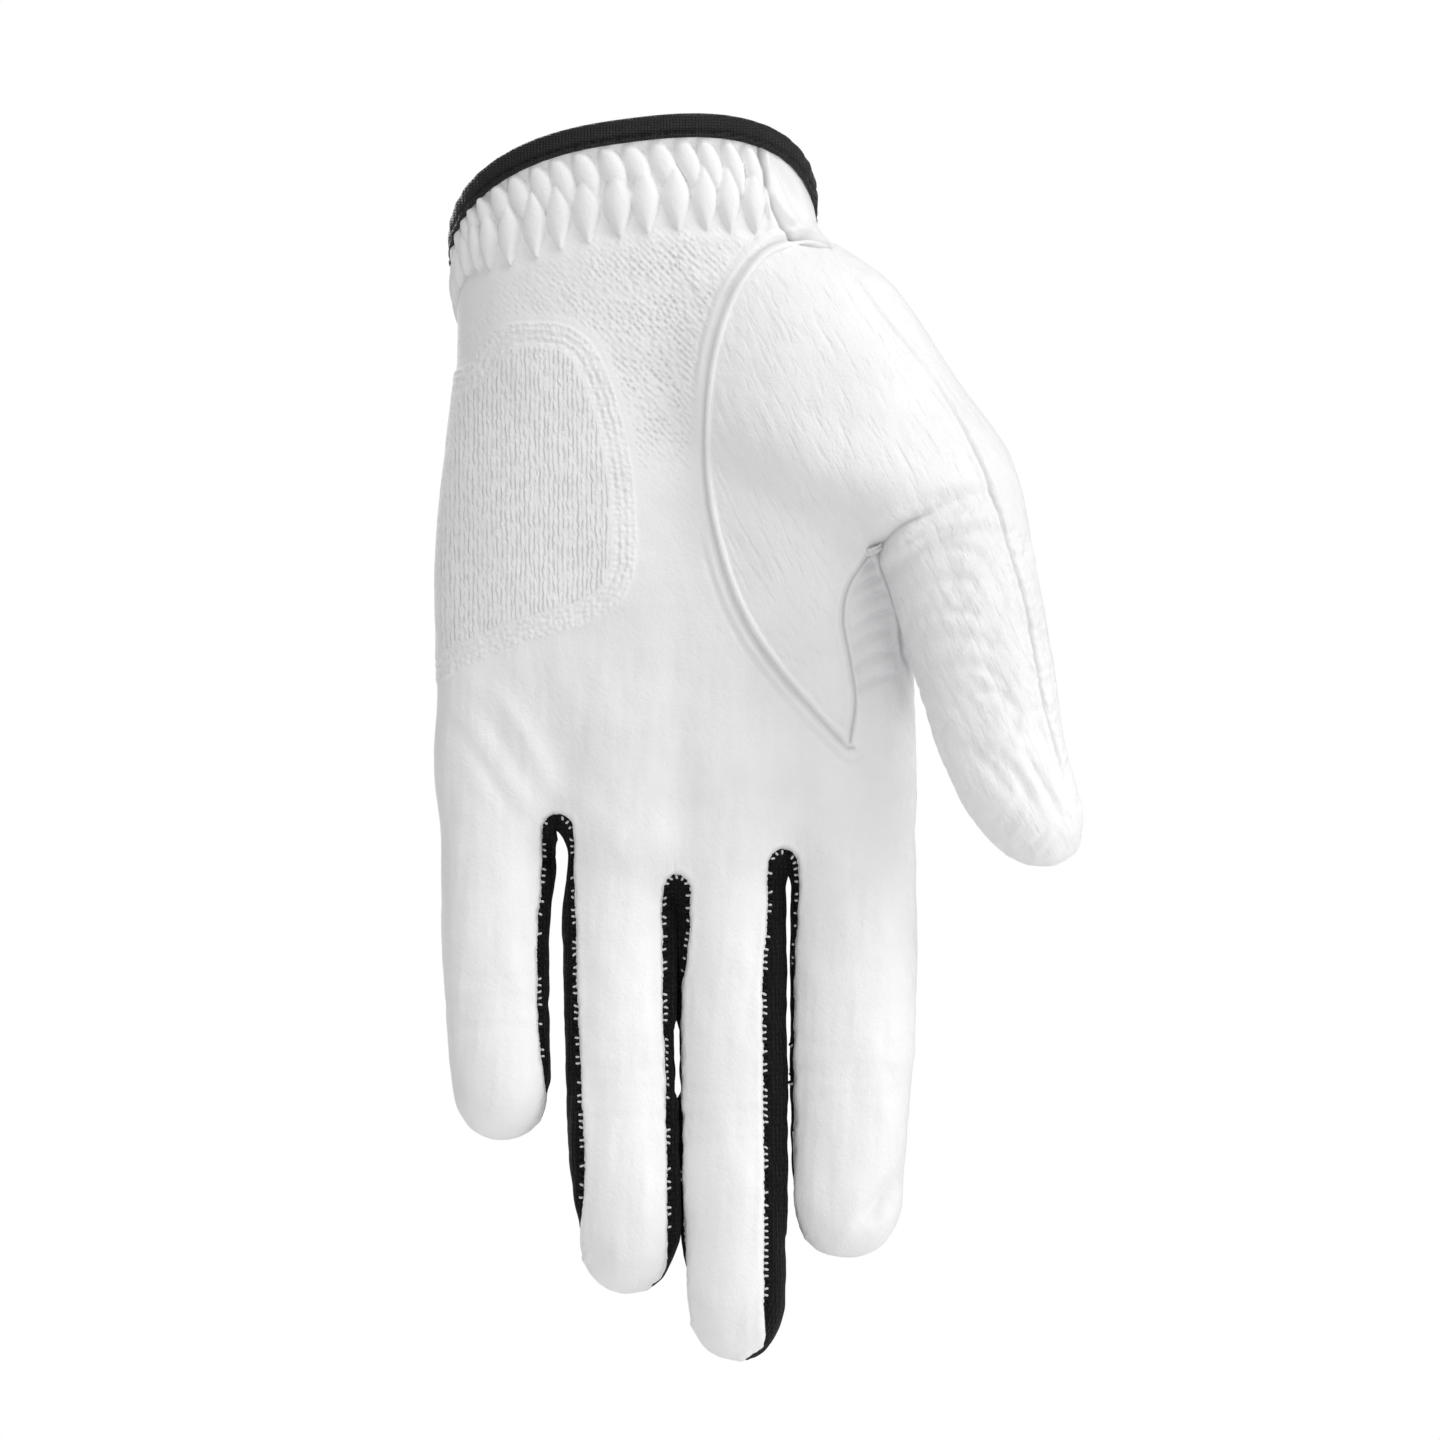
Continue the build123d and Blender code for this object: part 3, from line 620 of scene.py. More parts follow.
WEB_FOLDS = [([(41.5, z), (45, z + 2.2), (49, z + 3.6)], 0.65, -0.9)
             for z in (-64.5, -68.0, -71.2, -75.0, -78.4, -82.5, -86.6)]
CUFF_FOLDS = [
    ([(26, 12), (29, 6), (31.5, 1)], 0.8, -0.6),
    ([(28.5, 9), (30.5, 5), (32.5, 1.5)], 0.7, -0.5),
    ([(26.5, 5), (29, 1), (33, -2.2)], 0.8, 0.6),
    ([(30, -3.3), (33, -2.6), (37, -3.2)], 0.7, -0.9),
]


# Rows of the gathered cuff: depth of the middle below the rim, half height, pitch, phase, lean.
CUFF_ROWS = [(8.2, 6.3, 4.75, 0.25, 0.36), (14.4, 6.4, 5.55, 0.0, 0.08)]


def cuff_relief(x, y, z):
    """Two interleaved rows of pointed puffs gathered by the elastic tapes, and how much of the cuff they take."""
    depth = (rim_height(x, y) - z) / (1 - 0.30 * smoothstep((y + 20) / 11))
    around = x * (1 + 0.2 * (x / 30) ** 2) + np.sign(x) * np.clip(y + 15.0, 0, None)
    total = np.zeros(x.shape)
    for row, (centre, half, pitch, phase, lean) in enumerate(CUFF_ROWS):
        t = (depth - centre) / half
        u = (around - lean * (depth - centre)) / pitch + phase
        cell = np.floor(u)
        c = (u - cell - 0.5 + 0.05 * np.sin(2.3 * cell + 1.0)) * 2
        width = np.clip(1 - np.abs(t) ** 1.6, 0, 1)
        q = np.clip(np.abs(c) / np.maximum(width, 1e-3), 0, 1)
        height = np.clip(1 - q**2.2, 0, 1) ** 0.6 * np.clip(1 - t**2, 0, 1) ** 0.5
        total = np.maximum(total, height * (1.0 + 0.10 * np.sin(5.1 * cell + row)) * (0.78 + 0.22 * row))
    side = smoothstep((26.0 - x) / 1.4) * smoothstep((6.0 - y) / 5.0)
    below_tape = smoothstep((depth - 3.0) / 2.6)
    puffs = 1.8 * (total - 0.30) * side * below_tape * smoothstep((22.5 - depth) / 3.0)
    return puffs, side * smoothstep((21 - depth) / 2.0)


def thenar_relief(p, outside, in_thenar):
    """The thenar seam: a round welt with a groove, a second fold outside it, and the thicker leather inside it."""
    z = p[:, 2]
    upper = smoothstep((z + 34) / 8) + smoothstep((-56 - z) / 8)
    return (0.5 * bump(outside - 0.1, 0.7) - 0.45 * bump(outside - 1.1, 0.5)
            + upper * (0.34 * bump(outside - 2.4, 0.7) - 0.28 * bump(outside - 3.5, 0.55))
            + 0.05 * bump(outside + 1.2, 1.3) * noise(p, 2.4, 43) + 0.35 * in_thenar)


def web_relief(x, z, front, web):
    """The web gusset between its pulled-in seams, the thumb's crook over it, and painted shade in their creases and
    around them.
    """
    dist, _, side = line_distance(x, z, WEB_SEAM)
    fade = front * smoothstep((-58.5 - z) / 2)
    edge_dist, _, _ = line_distance(x, z, WEB_EDGE)
    edge_fade = fade * smoothstep((z + 88) / 12)
    crook_dist, crook_along, _ = line_distance(x, z, CROOK)
    crook_fade = front * smoothstep((15.5 - crook_along) / 9)
    out = fade * (0.4 * bump(dist - 1.3, 0.8) * (side > 0) - 0.5 * bump(dist, 0.5))
    out -= edge_fade * 0.5 * bump(edge_dist, 0.5)
    out -= 0.7 * front * smoothstep(-web / 1.4) * smoothstep((z + 92) / 10)
    out += edge_fade * 0.55 * bump(edge_dist - 1.8, 1.5) * (web > 0) * (x > 44.6)
    out -= crook_fade * 0.5 * bump(crook_dist, 0.5)
    inside = smoothstep(-web / 1.2)
    out += front * soft_lines(x, z, WEB_FOLDS) * inside * smoothstep((-61 - z) / 3)
    # Painted shade for the leather's colour: dark lines in the seams' and the crook's creases, and a darker gusset and
    # thumb flank beside the web edge.
    shaded = (0.10 + 0.32 * bump(edge_dist, 4.2)) * inside + 0.24 * bump(edge_dist - 1, 4.5) * (1 - inside) * (x > 45.5)
    crease = 0.55 * fade * bump(dist, 0.3) + 0.6 * edge_fade * bump(edge_dist, 0.32)
    crease += 0.5 * crook_fade * bump(crook_dist, 0.3)
    return out, crease + front * shaded * smoothstep((z + 95) / 14) * smoothstep((-57 - z) / 7)


def thumb_seam_relief(x, z, front, side):
    """The thumb's outer side seam, two plies turned together, the plain side seams elsewhere, and painted shade along
    the outer seam's line.
    """
    dist, along, _ = line_distance(x, z, THUMB_SIDE_SEAM)
    fade = front * smoothstep((-8 - z) / 8) * smoothstep((104 + z) / 8)
    out = fade * (0.22 * bump(dist - 0.8, 0.55) - 0.40 * bump(dist, 0.34))
    out += fade * 0.05 * np.sin(along * 2 * pi / 2.6) * bump(dist, 2.0)
    out -= 0.4 * bump(side, 0.5) * (1 - fade)
    return out, fade * (0.15 + 0.3 * smoothstep((-26 - z) / 24)) * bump(dist, 0.28)


def heel_relief(p, patch):
    """The heel patch: a second ply with three rows of stitches along its border."""
    out = 0.38 * smoothstep((0.5 - patch) / 1.2)
    for row in (-0.9, -2.2, -3.5):
        out -= 0.13 * bump(patch - row, 0.40) * (1 + 0.5 * noise(p, 1.8, 44))
    return out


def grain_relief(p, in_thenar, crumple, thumb_area):
    """Fine streaks that run down and across the thenar leather, and crumples on the thumb."""
    z = p[:, 2]
    streak_axis, crumple_axis = np.array([0.42, 0.0, -0.91]), np.array([0.62, 0.0, 0.78])
    across = p - np.outer(p @ streak_axis, streak_axis) * 0.80
    creased = p - np.outer(p @ crumple_axis, crumple_axis) * 0.55
    out = in_thenar * 0.05 * noise(across, 3.1, 21) * smoothstep((76 + z) / 40)
    out += crumple * (0.20 - 0.28 * np.abs(noise(creased, 5.4, 23, 3)) + 0.12 * noise(across, 3.2, 25))
    return out + (1 - thumb_area) * 0.10 * noise(p * [1.0, 1, 0.25], 5.0, 31) * smoothstep((-70 - z) / 12)


def joint_relief(x, z, front, back):
    """Light cross folds over the back and the front of the fingers' middle joints."""
    out = np.zeros(x.shape)
    for name in FINGERS:
        from_middle = x - at(TUBES[name][0][0], z)
        own = (np.abs(from_middle) < 12) & (z < -108) & (x < 54)
        joint = sum(CUTS[name]["middle_bend"]) / 2
        for k, dz in enumerate((-4.2, -1.6, 1.2, 4.0)):
            line = z - joint - dz - 0.06 * from_middle**2 * (0.3 if k % 2 else -0.3)
            out -= own * (back * 0.34 * bump(line, 0.8) + front * 0.10 * bump(line, 1.1))
    return out


def strip_relief(p, mesh):
    """The mesh strips: sunk at the seams and puffed between them, with a wavy edge."""
    x, y, z = p.T
    nearest = nearest_finger(p)
    tip = np.array([TUBES[f][1] for f in FINGERS])[nearest]
    not_tip = smoothstep((z - tip + 8) / 6)
    in_mesh = smoothstep((-mesh) / 0.5) * not_tip
    middle_x, middle_y = (np.select([nearest == k for k in range(4)], [at(TUBES[f][0][column], z) for f in FINGERS])
                          for column in (0, 2))
    right, left = x > middle_x, x < middle_x
    # The ring and the middle finger touch, with a lip of mesh each way, except at a hole and a slit.
    ring, middle = (nearest == 1) * right * 1.0, (nearest == 2) * left * 1.0
    closed = np.maximum(smoothstep((-126.0 - z) / 1.4) * smoothstep((z + 148.0) / 1.6), smoothstep((-160.4 - z) / 1.8))
    slit = smoothstep((-147.6 - z) / 1.4) * smoothstep((z + 161.2) / 1.4) + 0.8 * bump(z + 124.9, 0.9)
    out = -0.5 * bump(mesh, 0.5) * not_tip
    out -= in_mesh * 0.60 * (ring - middle) * closed * np.tanh((y - middle_y) / 1.3)
    out -= in_mesh * 0.45 * slit * (ring + middle)
    out += in_mesh * ((nearest == 0) * right * 1.7 * bump(z + 118, 9)
                      + (nearest == 1) * left * (0.6 * bump(z + 172, 11) - 1.1 * bump(z + 117, 7)))
    out += in_mesh * (0.16 * smoothstep(-mesh / 2.0) + 0.10 * noise(p * [0.4, 0.4, 1], 7.0, 41))
    return out + (1 - in_mesh) * (0.20 * bump(mesh - 1.0, 0.8) + 0.10 * noise(p, 2.0, 42) * bump(mesh - 0.4, 0.8))


def back_relief(z, thumb, knuckle):
    """The back's seam by the thumb, and the knuckle mesh, which stands a little higher inside its sunk edge."""
    return (0.3 * bump(thumb - 1.3, 0.8) - 0.5 * bump(thumb, 0.55)
            + (0.25 * smoothstep(-knuckle) - 0.4 * bump(knuckle, 0.5)) * (z < -84))


def relief(p, normal, fields):
    """How far each point stands out from the smooth hand form, in mm, and masks for the materials, one of them painted
    shade for seams and creases.
    """
    x, y, z = p.T
    front = smoothstep((-normal[:, 1] + 0.15) / 0.5)
    back = smoothstep((normal[:, 1] + 0.1) / 0.5)
    on_left = smoothstep((9.0 - y) / 2.0)
    thenar_dist, _, thenar_side = line_distance(x, z, THENAR_SEAM)
    outside = -thenar_dist * thenar_side
    in_thenar = smoothstep((-fields["thenar"] - 0.2) / 1.2) * front
    thumb_area = smoothstep((x - 44) / 10) * (z < 0)
    crumple = thumb_area * smoothstep((-46 - z) / 10) * front
    web, web_painted_shade = web_relief(x, z, front, fields["web"])
    seam, seam_painted_shade = thumb_seam_relief(x, z, front, fields["side"])
    cuff, cuff_mask = cuff_relief(x, y, z)
    cuff_seam = front * (z > -5) * (x > 20)

    out = 0.16 * noise(p * [1, 1, 0.6], 17.0, 11) + 0.05 * noise(p, 6.0, 12)
    out += front * thenar_relief(p, outside, in_thenar) + web + seam + on_left * heel_relief(p, fields["heel"])
    out += front * soft_lines(x, z, PALM_FOLDS + THUMB_FOLDS + FINGER_FOLDS)
    out += grain_relief(p, in_thenar, crumple, thumb_area) + joint_relief(x, z, front, back)
    out += strip_relief(p, fields["mesh"]) + back * back_relief(z, fields["back_thumb"], fields["knuckle"])
    out = out * (1 - 0.7 * cuff_mask) + cuff
    out += 1.5 * front * soft_lines(x, z, CUFF_FOLDS) * smoothstep((x - 24) / 1.5)
    out -= 0.5 * cuff_seam * bump(fields["cuff_seam"], 0.5)

    pebble = smoothstep((rim_height(x, y) - z - 17.0) / 10) * smoothstep((52 + z) / 18) * front
    pebble *= smoothstep((fields["heel"] - 0.6) / 1.5) * smoothstep((outside - 2.0) / 3.0)
    # Painted shade: darkens the leather's colour along the seams, the welt's groove, the crook, the back's thumb seam
    # and over the web gusset.
    crease = web_painted_shade + seam_painted_shade + 0.7 * cuff_seam * bump(fields["cuff_seam"], 0.3)
    crease += 0.35 * front * bump(outside - 1.1, 0.35) + 0.5 * back * bump(fields["back_thumb"], 0.3)
    return out, {
        "pebble": pebble * (0.35 + 0.65 * bump(x - 8, 14)),
        "ribs": on_left * smoothstep((-fields["heel"] - 4.2) / 0.8),
        "streak": np.clip(in_thenar + crumple * front, 0, 1),
        "dots": front * smoothstep((-122 - z) / 6) * smoothstep((166 + z) / 20) * (np.abs(x - 9) < 22),
        "heel_edge": np.clip(fields["heel"], -8, 3),
        "crease": np.clip(crease, 0, 1),
    }


# ---------------------------------------------------------------- materials
class Material:
    """A node material in the making. Its textures lie on the resting glove, in mm."""

    def __init__(self, name):
        self.made = bpy.data.materials.new(name)
        self.made.use_nodes = True
        self.nodes, self.links = self.made.node_tree.nodes, self.made.node_tree.links

    def fill(self, node, inputs):
        for key, value in dict(inputs).items():
            if isinstance(value, bpy.types.NodeSocket):
                self.links.new(value, node.inputs[key])
            else:
                node.inputs[key].default_value = value

    def add(self, kind, inputs=(), **settings):
        node = self.nodes.new("ShaderNode" + kind)
        for key, value in settings.items():
            setattr(node, key, value)
        self.fill(node, inputs)
        return node

    def rest(self, scale=(1, 1, 1), rotation=(0, 0, 0)):
        """The point's place on the resting glove in mm, turned and then scaled."""
        rest = self.add("Attribute", attribute_name="rest")
        turned = self.add("Mapping", {"Vector": rest.outputs["Vector"], "Rotation": rotation})
        return self.add("Mapping", {"Vector": turned.outputs[0], "Scale": scale}).outputs[0]

    def mask(self, name):
        return self.add("Attribute", attribute_name=name).outputs["Fac"]

    def noise(self, place, scale, detail, output="Fac", **inputs):
        return self.add("TexNoise", {"Vector": place, "Scale": scale, "Detail": detail, **inputs}).outputs[output]

    def cells(self, place, scale=1.0, randomness=1.0, feature="F1"):
        inputs = {"Vector": place, "Scale": scale, "Randomness": randomness}
        return self.add("TexVoronoi", inputs, feature=feature).outputs["Distance"]

    def wave(self, place, scale, distortion, direction="X", **inputs):
        inputs = {"Vector": place, "Scale": scale, "Distortion": distortion, **inputs}
        return self.add("TexWave", inputs, bands_direction=direction).outputs["Fac"]

    def math(self, kind, a, b=0.0, **settings):
        return self.add("Math", {0: a, 1: b}, operation=kind, **settings).outputs[0]

    def spread(self, value, low=0.0, high=1.0, start=0.0, end=1.0):
        """Maps start to end of a value to low to high."""
        return self.add("MapRange", {"Value": value, "From Min": start, "From Max": end,
                                     "To Min": low, "To Max": high}).outputs[0]

    def ramp(self, fac, stops):
        ramp = self.add("ValToRGB", {"Fac": fac})
        while len(ramp.color_ramp.elements) < len(stops):
            ramp.color_ramp.elements.new(0.5)
        for element, (place, colour) in zip(ramp.color_ramp.elements, stops):
            element.position = place
            element.color = (*colour, 1)
        return ramp.outputs["Color"]

    def finish(self, colour, roughness, heights=(), **constants):
        """Links the shader up. heights are bumps laid over one another: (height, distance in metres, strength)."""
        sockets = {"Base Color": colour, "Roughness": roughness}
        for height, distance, strength in heights:
            inputs = {"Height": height, "Distance": distance, "Strength": strength}
            if "Normal" in sockets:
                inputs["Normal"] = sockets["Normal"]
            sockets["Normal"] = self.add("Bump", inputs).outputs["Normal"]
        sockets.update({key.replace("_", " "): value for key, value in constants.items()})
        self.fill(self.nodes["Principled BSDF"], sockets)
        return self.made


def leather(name, tone=(0.89, 0.89, 0.895), suede=False):
    m = Material(name)
    rest = m.rest()
    shade = m.ramp(m.noise(rest, 0.05, 3.0), [(0.3, tuple(c * 0.93 for c in tone)), (0.65, tone)])
    # Painted shade: the mask of painted shade multiplies the leather's colour toward 0.42 grey in seams, creases and
    # the web gusset.
    shadowed = m.add("Mix", {"Factor": m.mask("crease"), 6: shade, 7: (0.42, 0.42, 0.43, 1)},
                     data_type="RGBA", blend_type="MULTIPLY")
    fine = m.noise(rest, 2.6, 4.0, Roughness=0.6)
    pores = m.cells(rest, 1.05)
    cell_height = m.math("MULTIPLY", m.cells(rest, 0.62, feature="DISTANCE_TO_EDGE"), 5.0, use_clamp=True)
    diagonal = m.cells(m.rest((1.08, 0.85, 0.85), (0, 0.78, 0)), 1.0, 0.5, "SMOOTH_F1")
    scratches = m.spread(m.noise(m.rest((0.85, 0.5, 0.16), (0, 0.45, 0)), 1.0, 3.0), start=0.5, end=0.75)
    dot = m.math("LESS_THAN", m.cells(m.rest((0.42, 0.42, 0.42)), 1.0, 0.55), 0.16)
    return m.finish(shadowed.outputs[2], m.spread(fine, 0.50, 0.68), [
        (cell_height, 0.00006, 0.35), (fine, 0.00012, 0.55), (pores, 0.00006, 0.4),
        (m.math("MULTIPLY", diagonal, m.mask("pebble")), -0.0009, 0.9),
        (m.math("MULTIPLY", scratches, m.mask("streak")), -0.00024, 0.6),
        (m.math("MULTIPLY", dot, m.mask("dots")), -0.00025, 0.5),
    ], Specular_IOR_Level=0.15 if suede else 0.32, Sheen_Weight=0.35 if suede else 0.12, Sheen_Roughness=0.5)


def ribbed_leather():
    m = Material("ribbed_leather")
    rest = m.rest()
    shade = m.noise(rest, 0.08, 2.0)
    warp = m.noise(m.rest((0.3, 0.3, 0.12)), 1.0, 2.0, "Color")
    push = m.add("VectorMath", {0: warp, "Scale": 1.1}, operation="SCALE").outputs[0]
    shifted = m.add("VectorMath", {0: rest, 1: push}, operation="ADD").outputs[0]
    ribs = m.wave(shifted, 0.36, 2.6, **{"Detail": 2.0, "Detail Scale": 2.2})
    broken = m.spread(m.noise(m.rest((1.0, 0.6, 0.62)), 1.0, 2.0), start=0.34, end=0.62)
    ribbed = m.math("MULTIPLY", m.math("MULTIPLY", ribs, broken), m.mask("ribs"))
    grain = m.noise(rest, 1.5, 4.0)
    edge = m.mask("heel_edge")
    border = m.spread(edge, start=-4.8, end=-3.8)
    stitched = m.math("MULTIPLY", m.cells(rest, 0.95, 0.7), border)
    rows = m.math("COSINE", m.math("MULTIPLY", edge, 2 * pi / 1.3))
    colour = m.ramp(shade, [(0.3, (0.84, 0.84, 0.845)), (0.7, (0.89, 0.89, 0.895))])
    return m.finish(colour, m.spread(grain, 0.55, 0.72), [
        (grain, 0.00012, 0.6), (ribbed, 0.00034, 0.75), (stitched, -0.0004, 0.7),
        (m.math("MULTIPLY", rows, border), 0.00006, 0.5),
    ], Specular_IOR_Level=0.3, Sheen_Weight=0.12)


def black_knit(name, cell=1.35, tone=0.0035):
    """Stretch mesh: rows of rounded loops with dark holes between them."""
    m = Material(name)
    loops = m.cells(m.rest((cell, cell, cell * 0.8)), 1.0, 0.22, "SMOOTH_F1")
    fuzz = m.noise(m.rest((4, 4, 1.5)), 1.6, 4.0)
    colour = m.ramp(loops, [(0.12, (tone * 2.6,) * 3), (0.5, (tone,) * 3), (0.75, (tone * 0.2,) * 3)])
    return m.finish(colour, m.spread(fuzz, 0.6, 0.95), [(fuzz, 0.0002, 0.5), (loops, -0.0007, 1.0)],
                    Sheen_Weight=0.04, Specular_IOR_Level=0.1)


def woven(name, light, dark, scale=1.8, roughness=(0.6, 0.85), sheen=0.3):
    """Narrow woven tape: a fine basket of warp and weft."""
    m = Material(name)
    rest = m.rest()
    weave = m.math("MULTIPLY", m.wave(rest, 0.36 * scale, 0.5, "Z"), m.wave(rest, 0.30 * scale, 0.5))
    fuzz = m.noise(rest, 3.0, 4.0)
    return m.finish(m.ramp(weave, [(0.0, dark), (0.7, light)]), m.spread(fuzz, *roughness),
                    [(fuzz, 0.00015, 0.5), (weave, 0.0003, 0.8)], Sheen_Weight=sheen, Specular_IOR_Level=0.3)


def thread_material(name, light, dark):
    m = Material(name)
    twist = m.wave(m.rest((1, 1, 1), (0.5, 0.6, 0)), 1.1, 1.0)
    return m.finish(m.ramp(twist, [(0.1, dark), (0.6, light)]), m.spread(twist, 0.45, 0.7), [(twist, 0.0002, 0.8)],
                    Sheen_Weight=0.03, Specular_IOR_Level=0.12)


def pile(name, cell, randomness, stops, depth, sheen):
    """The closure's loops, or the hooks that grip them."""
    m = Material(name)
    cells = m.cells(m.rest((cell,) * 3), 1.0, randomness)
    fuzz = m.noise(m.rest(), 3.5, 5.0)
    return m.finish(m.ramp(cells, stops), m.spread(fuzz, 0.5, 0.95), [(fuzz, 0.0003, 0.7), (cells, depth, 1.0)],
                    Sheen_Weight=sheen)


WHITE = leather("white_leather")
INSIDE = leather("leather_flesh_side", (0.72, 0.71, 0.69), suede=True)
RIBBED = ribbed_leather()
KNIT = black_knit("black_knit")
BINDING = woven("black_binding", (0.011, 0.011, 0.0115), (0.004, 0.004, 0.004), roughness=(0.34, 0.5), sheen=0.03)
ELASTIC = woven("elastic_tape", (0.8, 0.8, 0.79), (0.55, 0.55, 0.54), 1.2)
THREAD = thread_material("white_thread", (0.92, 0.92, 0.92), (0.8, 0.8, 0.8))
BLACK_THREAD = thread_material("black_thread", (0.012, 0.012, 0.012), (0.004, 0.004, 0.004))
LOOP = pile("loop_pile", 2.2, 1.0, [(0.1, (0.05, 0.05, 0.052)), (0.6, (0.012, 0.012, 0.012))], -0.0006, 0.5)
HOOK = pile("hook_tape", 1.1, 0.1, [(0.15, (0.08, 0.08, 0.085)), (0.5, (0.014, 0.014, 0.015))], -0.0008, 0.1)


# ---------------------------------------------------------------- the leather, cut along its seams
def refine(p, quads, tris, want):
    """Quarters the quads that want picks, and divides their neighbours to match."""
    n = len(p)

    def key(a, b):
        return np.minimum(a, b) * n + np.maximum(a, b)

    q = quads[want(p[quads].mean(1))]
    marked = np.unique(np.concatenate([key(q[:, k], q[:, (k + 1) % 4]) for k in range(4)] + [key(q[:, 0], q[:, 2])]))
    touched = np.zeros(len(quads), bool)
    for k in range(4):
        touched |= np.isin(key(quads[:, k], quads[:, (k + 1) % 4]), marked)
    part = quads[touched]
    faces = np.vstack([tris, part[:, [0, 1, 2]], part[:, [0, 2, 3]]])
    mids = np.full((len(faces), 3), -1)
    for k in range(3):
        edge = key(faces[:, k], faces[:, (k + 1) % 3])
        place = np.minimum(np.searchsorted(marked, edge), len(marked) - 1)
        hit = marked[place] == edge
        mids[hit, k] = n + place[hit]
    count = (mids >= 0).sum(1)
    out = [faces[count == 0]]
    a, m = faces[count == 3], mids[count == 3]
    out += [np.stack(t, 1) for t in ((a[:, 0], m[:, 0], m[:, 2]), (m[:, 0], a[:, 1], m[:, 1]),
                                     (m[:, 2], m[:, 1], a[:, 2]), (m[:, 0], m[:, 1], m[:, 2]))]
    for number in (1, 2):
        a, m = faces[count == number], mids[count == number]
        first = (m >= 0).argmax(1) if number == 1 else ((m < 0).argmax(1) + 1) % 3
        rows, order = np.arange(len(a))[:, None], (first[:, None] + np.arange(3)) % 3
        a, m = a[rows, order].T, m[rows, order].T
        if number == 1:
            out += [np.stack(t, 1) for t in ((a[0], m[0], a[2]), (m[0], a[1], a[2]))]
        else:
            out += [np.stack(t, 1) for t in ((m[0], a[1], m[1]), (a[0], m[0], m[1]), (a[0], m[1], a[2]))]
    return np.vstack([p, (p[marked // n] + p[marked % n]) / 2]), quads[~touched], np.vstack(out)


def wants_detail(c):
    """Faces near the gathered cuff, the raised seams and the mesh strips, which carry the finest relief."""
    x, y, z = c.T
    depth = rim_height(x, y) - z
    near = (np.abs(depth - 9) < 12.5) & (y < 8)
    for curve, reach in ((THENAR_SEAM, 5.0), (WEB_SEAM, 2.5), (WEB_EDGE, 2.5), (CROOK, 2.0), (THUMB_SIDE_SEAM, 2.5)):
        near |= (line_distance(x, z, curve)[0] < reach) & (y < -2)
    near |= (np.abs(inside_distance(x, z, HEEL_LOOP) + 1.6) < 3.4) & (y < 9)
    near |= (np.abs(mesh_distance(c)) < 1.7) & (z < -104)
    return near


def mesh_distance(p):
    """Signed distance, as seen from the front or the back, to the nearest strip of mesh between fingers."""
    front = gap_side(p) < 0
    best = np.full(len(p), 50.0)
    low = np.nonzero((p[:, 2] < -100) & ~is_thumb(p))[0]
    for (_, face), loop in GAP_LOOPS.items():
        own = low[(front[low] == (face == "front")) & (np.abs(p[low, 0] - loop[:, 0].mean()) < 18)]
        best[own] = np.minimum(best[own], inside_distance(p[own, 0], p[own, 2], loop))
    return best


def near_strip(sign):
    return lambda p: (sign * gap_side(p) < 0.3) & (p[:, 2] < -100) & ~is_thumb(p)


def cut_leather():
    points, quads = hand_mesh()
    tris = np.zeros((0, 3), int)
    points, quads, tris = refine(points, quads, tris, wants_detail)
    points = project(points, 1)

    def front(p):
        return side_field(p) < 0.3

    def back(p):
        return side_field(p) > -0.3

    cuts = [(below_rim, None), (side_field, None), (finger_level("root"), None), (finger_level("middle"), None),
            (thumb_level, None)]
    for pair in GAPS:
        cuts += [(strip_field(pair, face), near_strip(sign)) for face, sign in (("front", 1), ("back", -1))]
    cuts += [(loop_field(LOOPS[name]), front) for name in ("thenar", "web", "heel")]
    cuts += [(loop_field(loop), back) for loop in (BACK_THUMB_LOOP, KNUCKLE_LOOP, SLIT_LOOP)]
    for field, near in cuts:
        points, quads, tris = split_mesh(points, quads, tris, field, near)
    return points, quads, tris


def sort_faces(c):
    """The name of the piece that each face belongs to."""
    x, _, z = c.T
    front = side_field(c) < 0
    finger = nearest_finger(c)
    thumb = is_thumb(c)
    names = np.full(len(c), "palm_leather", dtype=object)
    names[~front] = "back_leather"
    for name, loop, own in (("thenar_leather", THENAR_LOOP, front), ("web_leather", WEB_LOOP, front),
                            ("heel_ply", HEEL_LOOP, front), ("thumb_back_leather", BACK_THUMB_LOOP, ~front),
                            ("knuckle_knit", KNUCKLE_LOOP, ~front)):
        names[own & (inside_distance(x, z, loop) < 0)] = name
    tip = thumb_level(c) < 0
    names[tip & front] = "thumb_tip_front_leather"
    names[tip & ~front] = "thumb_tip_back_leather"
    root = np.array([CUTS[f]["root"] for f in FINGERS])[finger]
    middle = np.array([CUTS[f]["middle"] for f in FINGERS])[finger]
    on_finger = ~thumb & (z < root)
    knit = ~thumb & (mesh_distance(c) < 0)
    names[knit] = "crotch_knit"
    for k, f in enumerate(FINGERS):
        own = on_finger & (finger == k)
        for part, rows in (("lower", own & (z > middle)), ("upper", own & (z <= middle))):
            names[rows & knit] = f + "_" + part + "_knit"
            names[rows & ~knit & front] = f + "_" + part + "_palm_leather"
            names[rows & ~knit & ~front] = f + "_" + part + "_back_leather"
    slit = ~front & (inside_distance(x, z, SLIT_LOOP) < 0)
    names[(below_rim(c) > 0) | slit] = ""
    return names


def vertex_normals(p, quads, tris):
    total = np.zeros_like(p)
    for faces, (a, b, c, d) in ((quads, (0, 2, 1, 3)), (tris, (0, 1, 0, 2))):
        if len(faces):
            n = np.cross(p[faces[:, b]] - p[faces[:, a]], p[faces[:, d]] - p[faces[:, c]])
            for k in range(faces.shape[1]):
                for axis in range(3):
                    total[:, axis] += np.bincount(faces[:, k], n[:, axis], len(p))
    return unit(total)


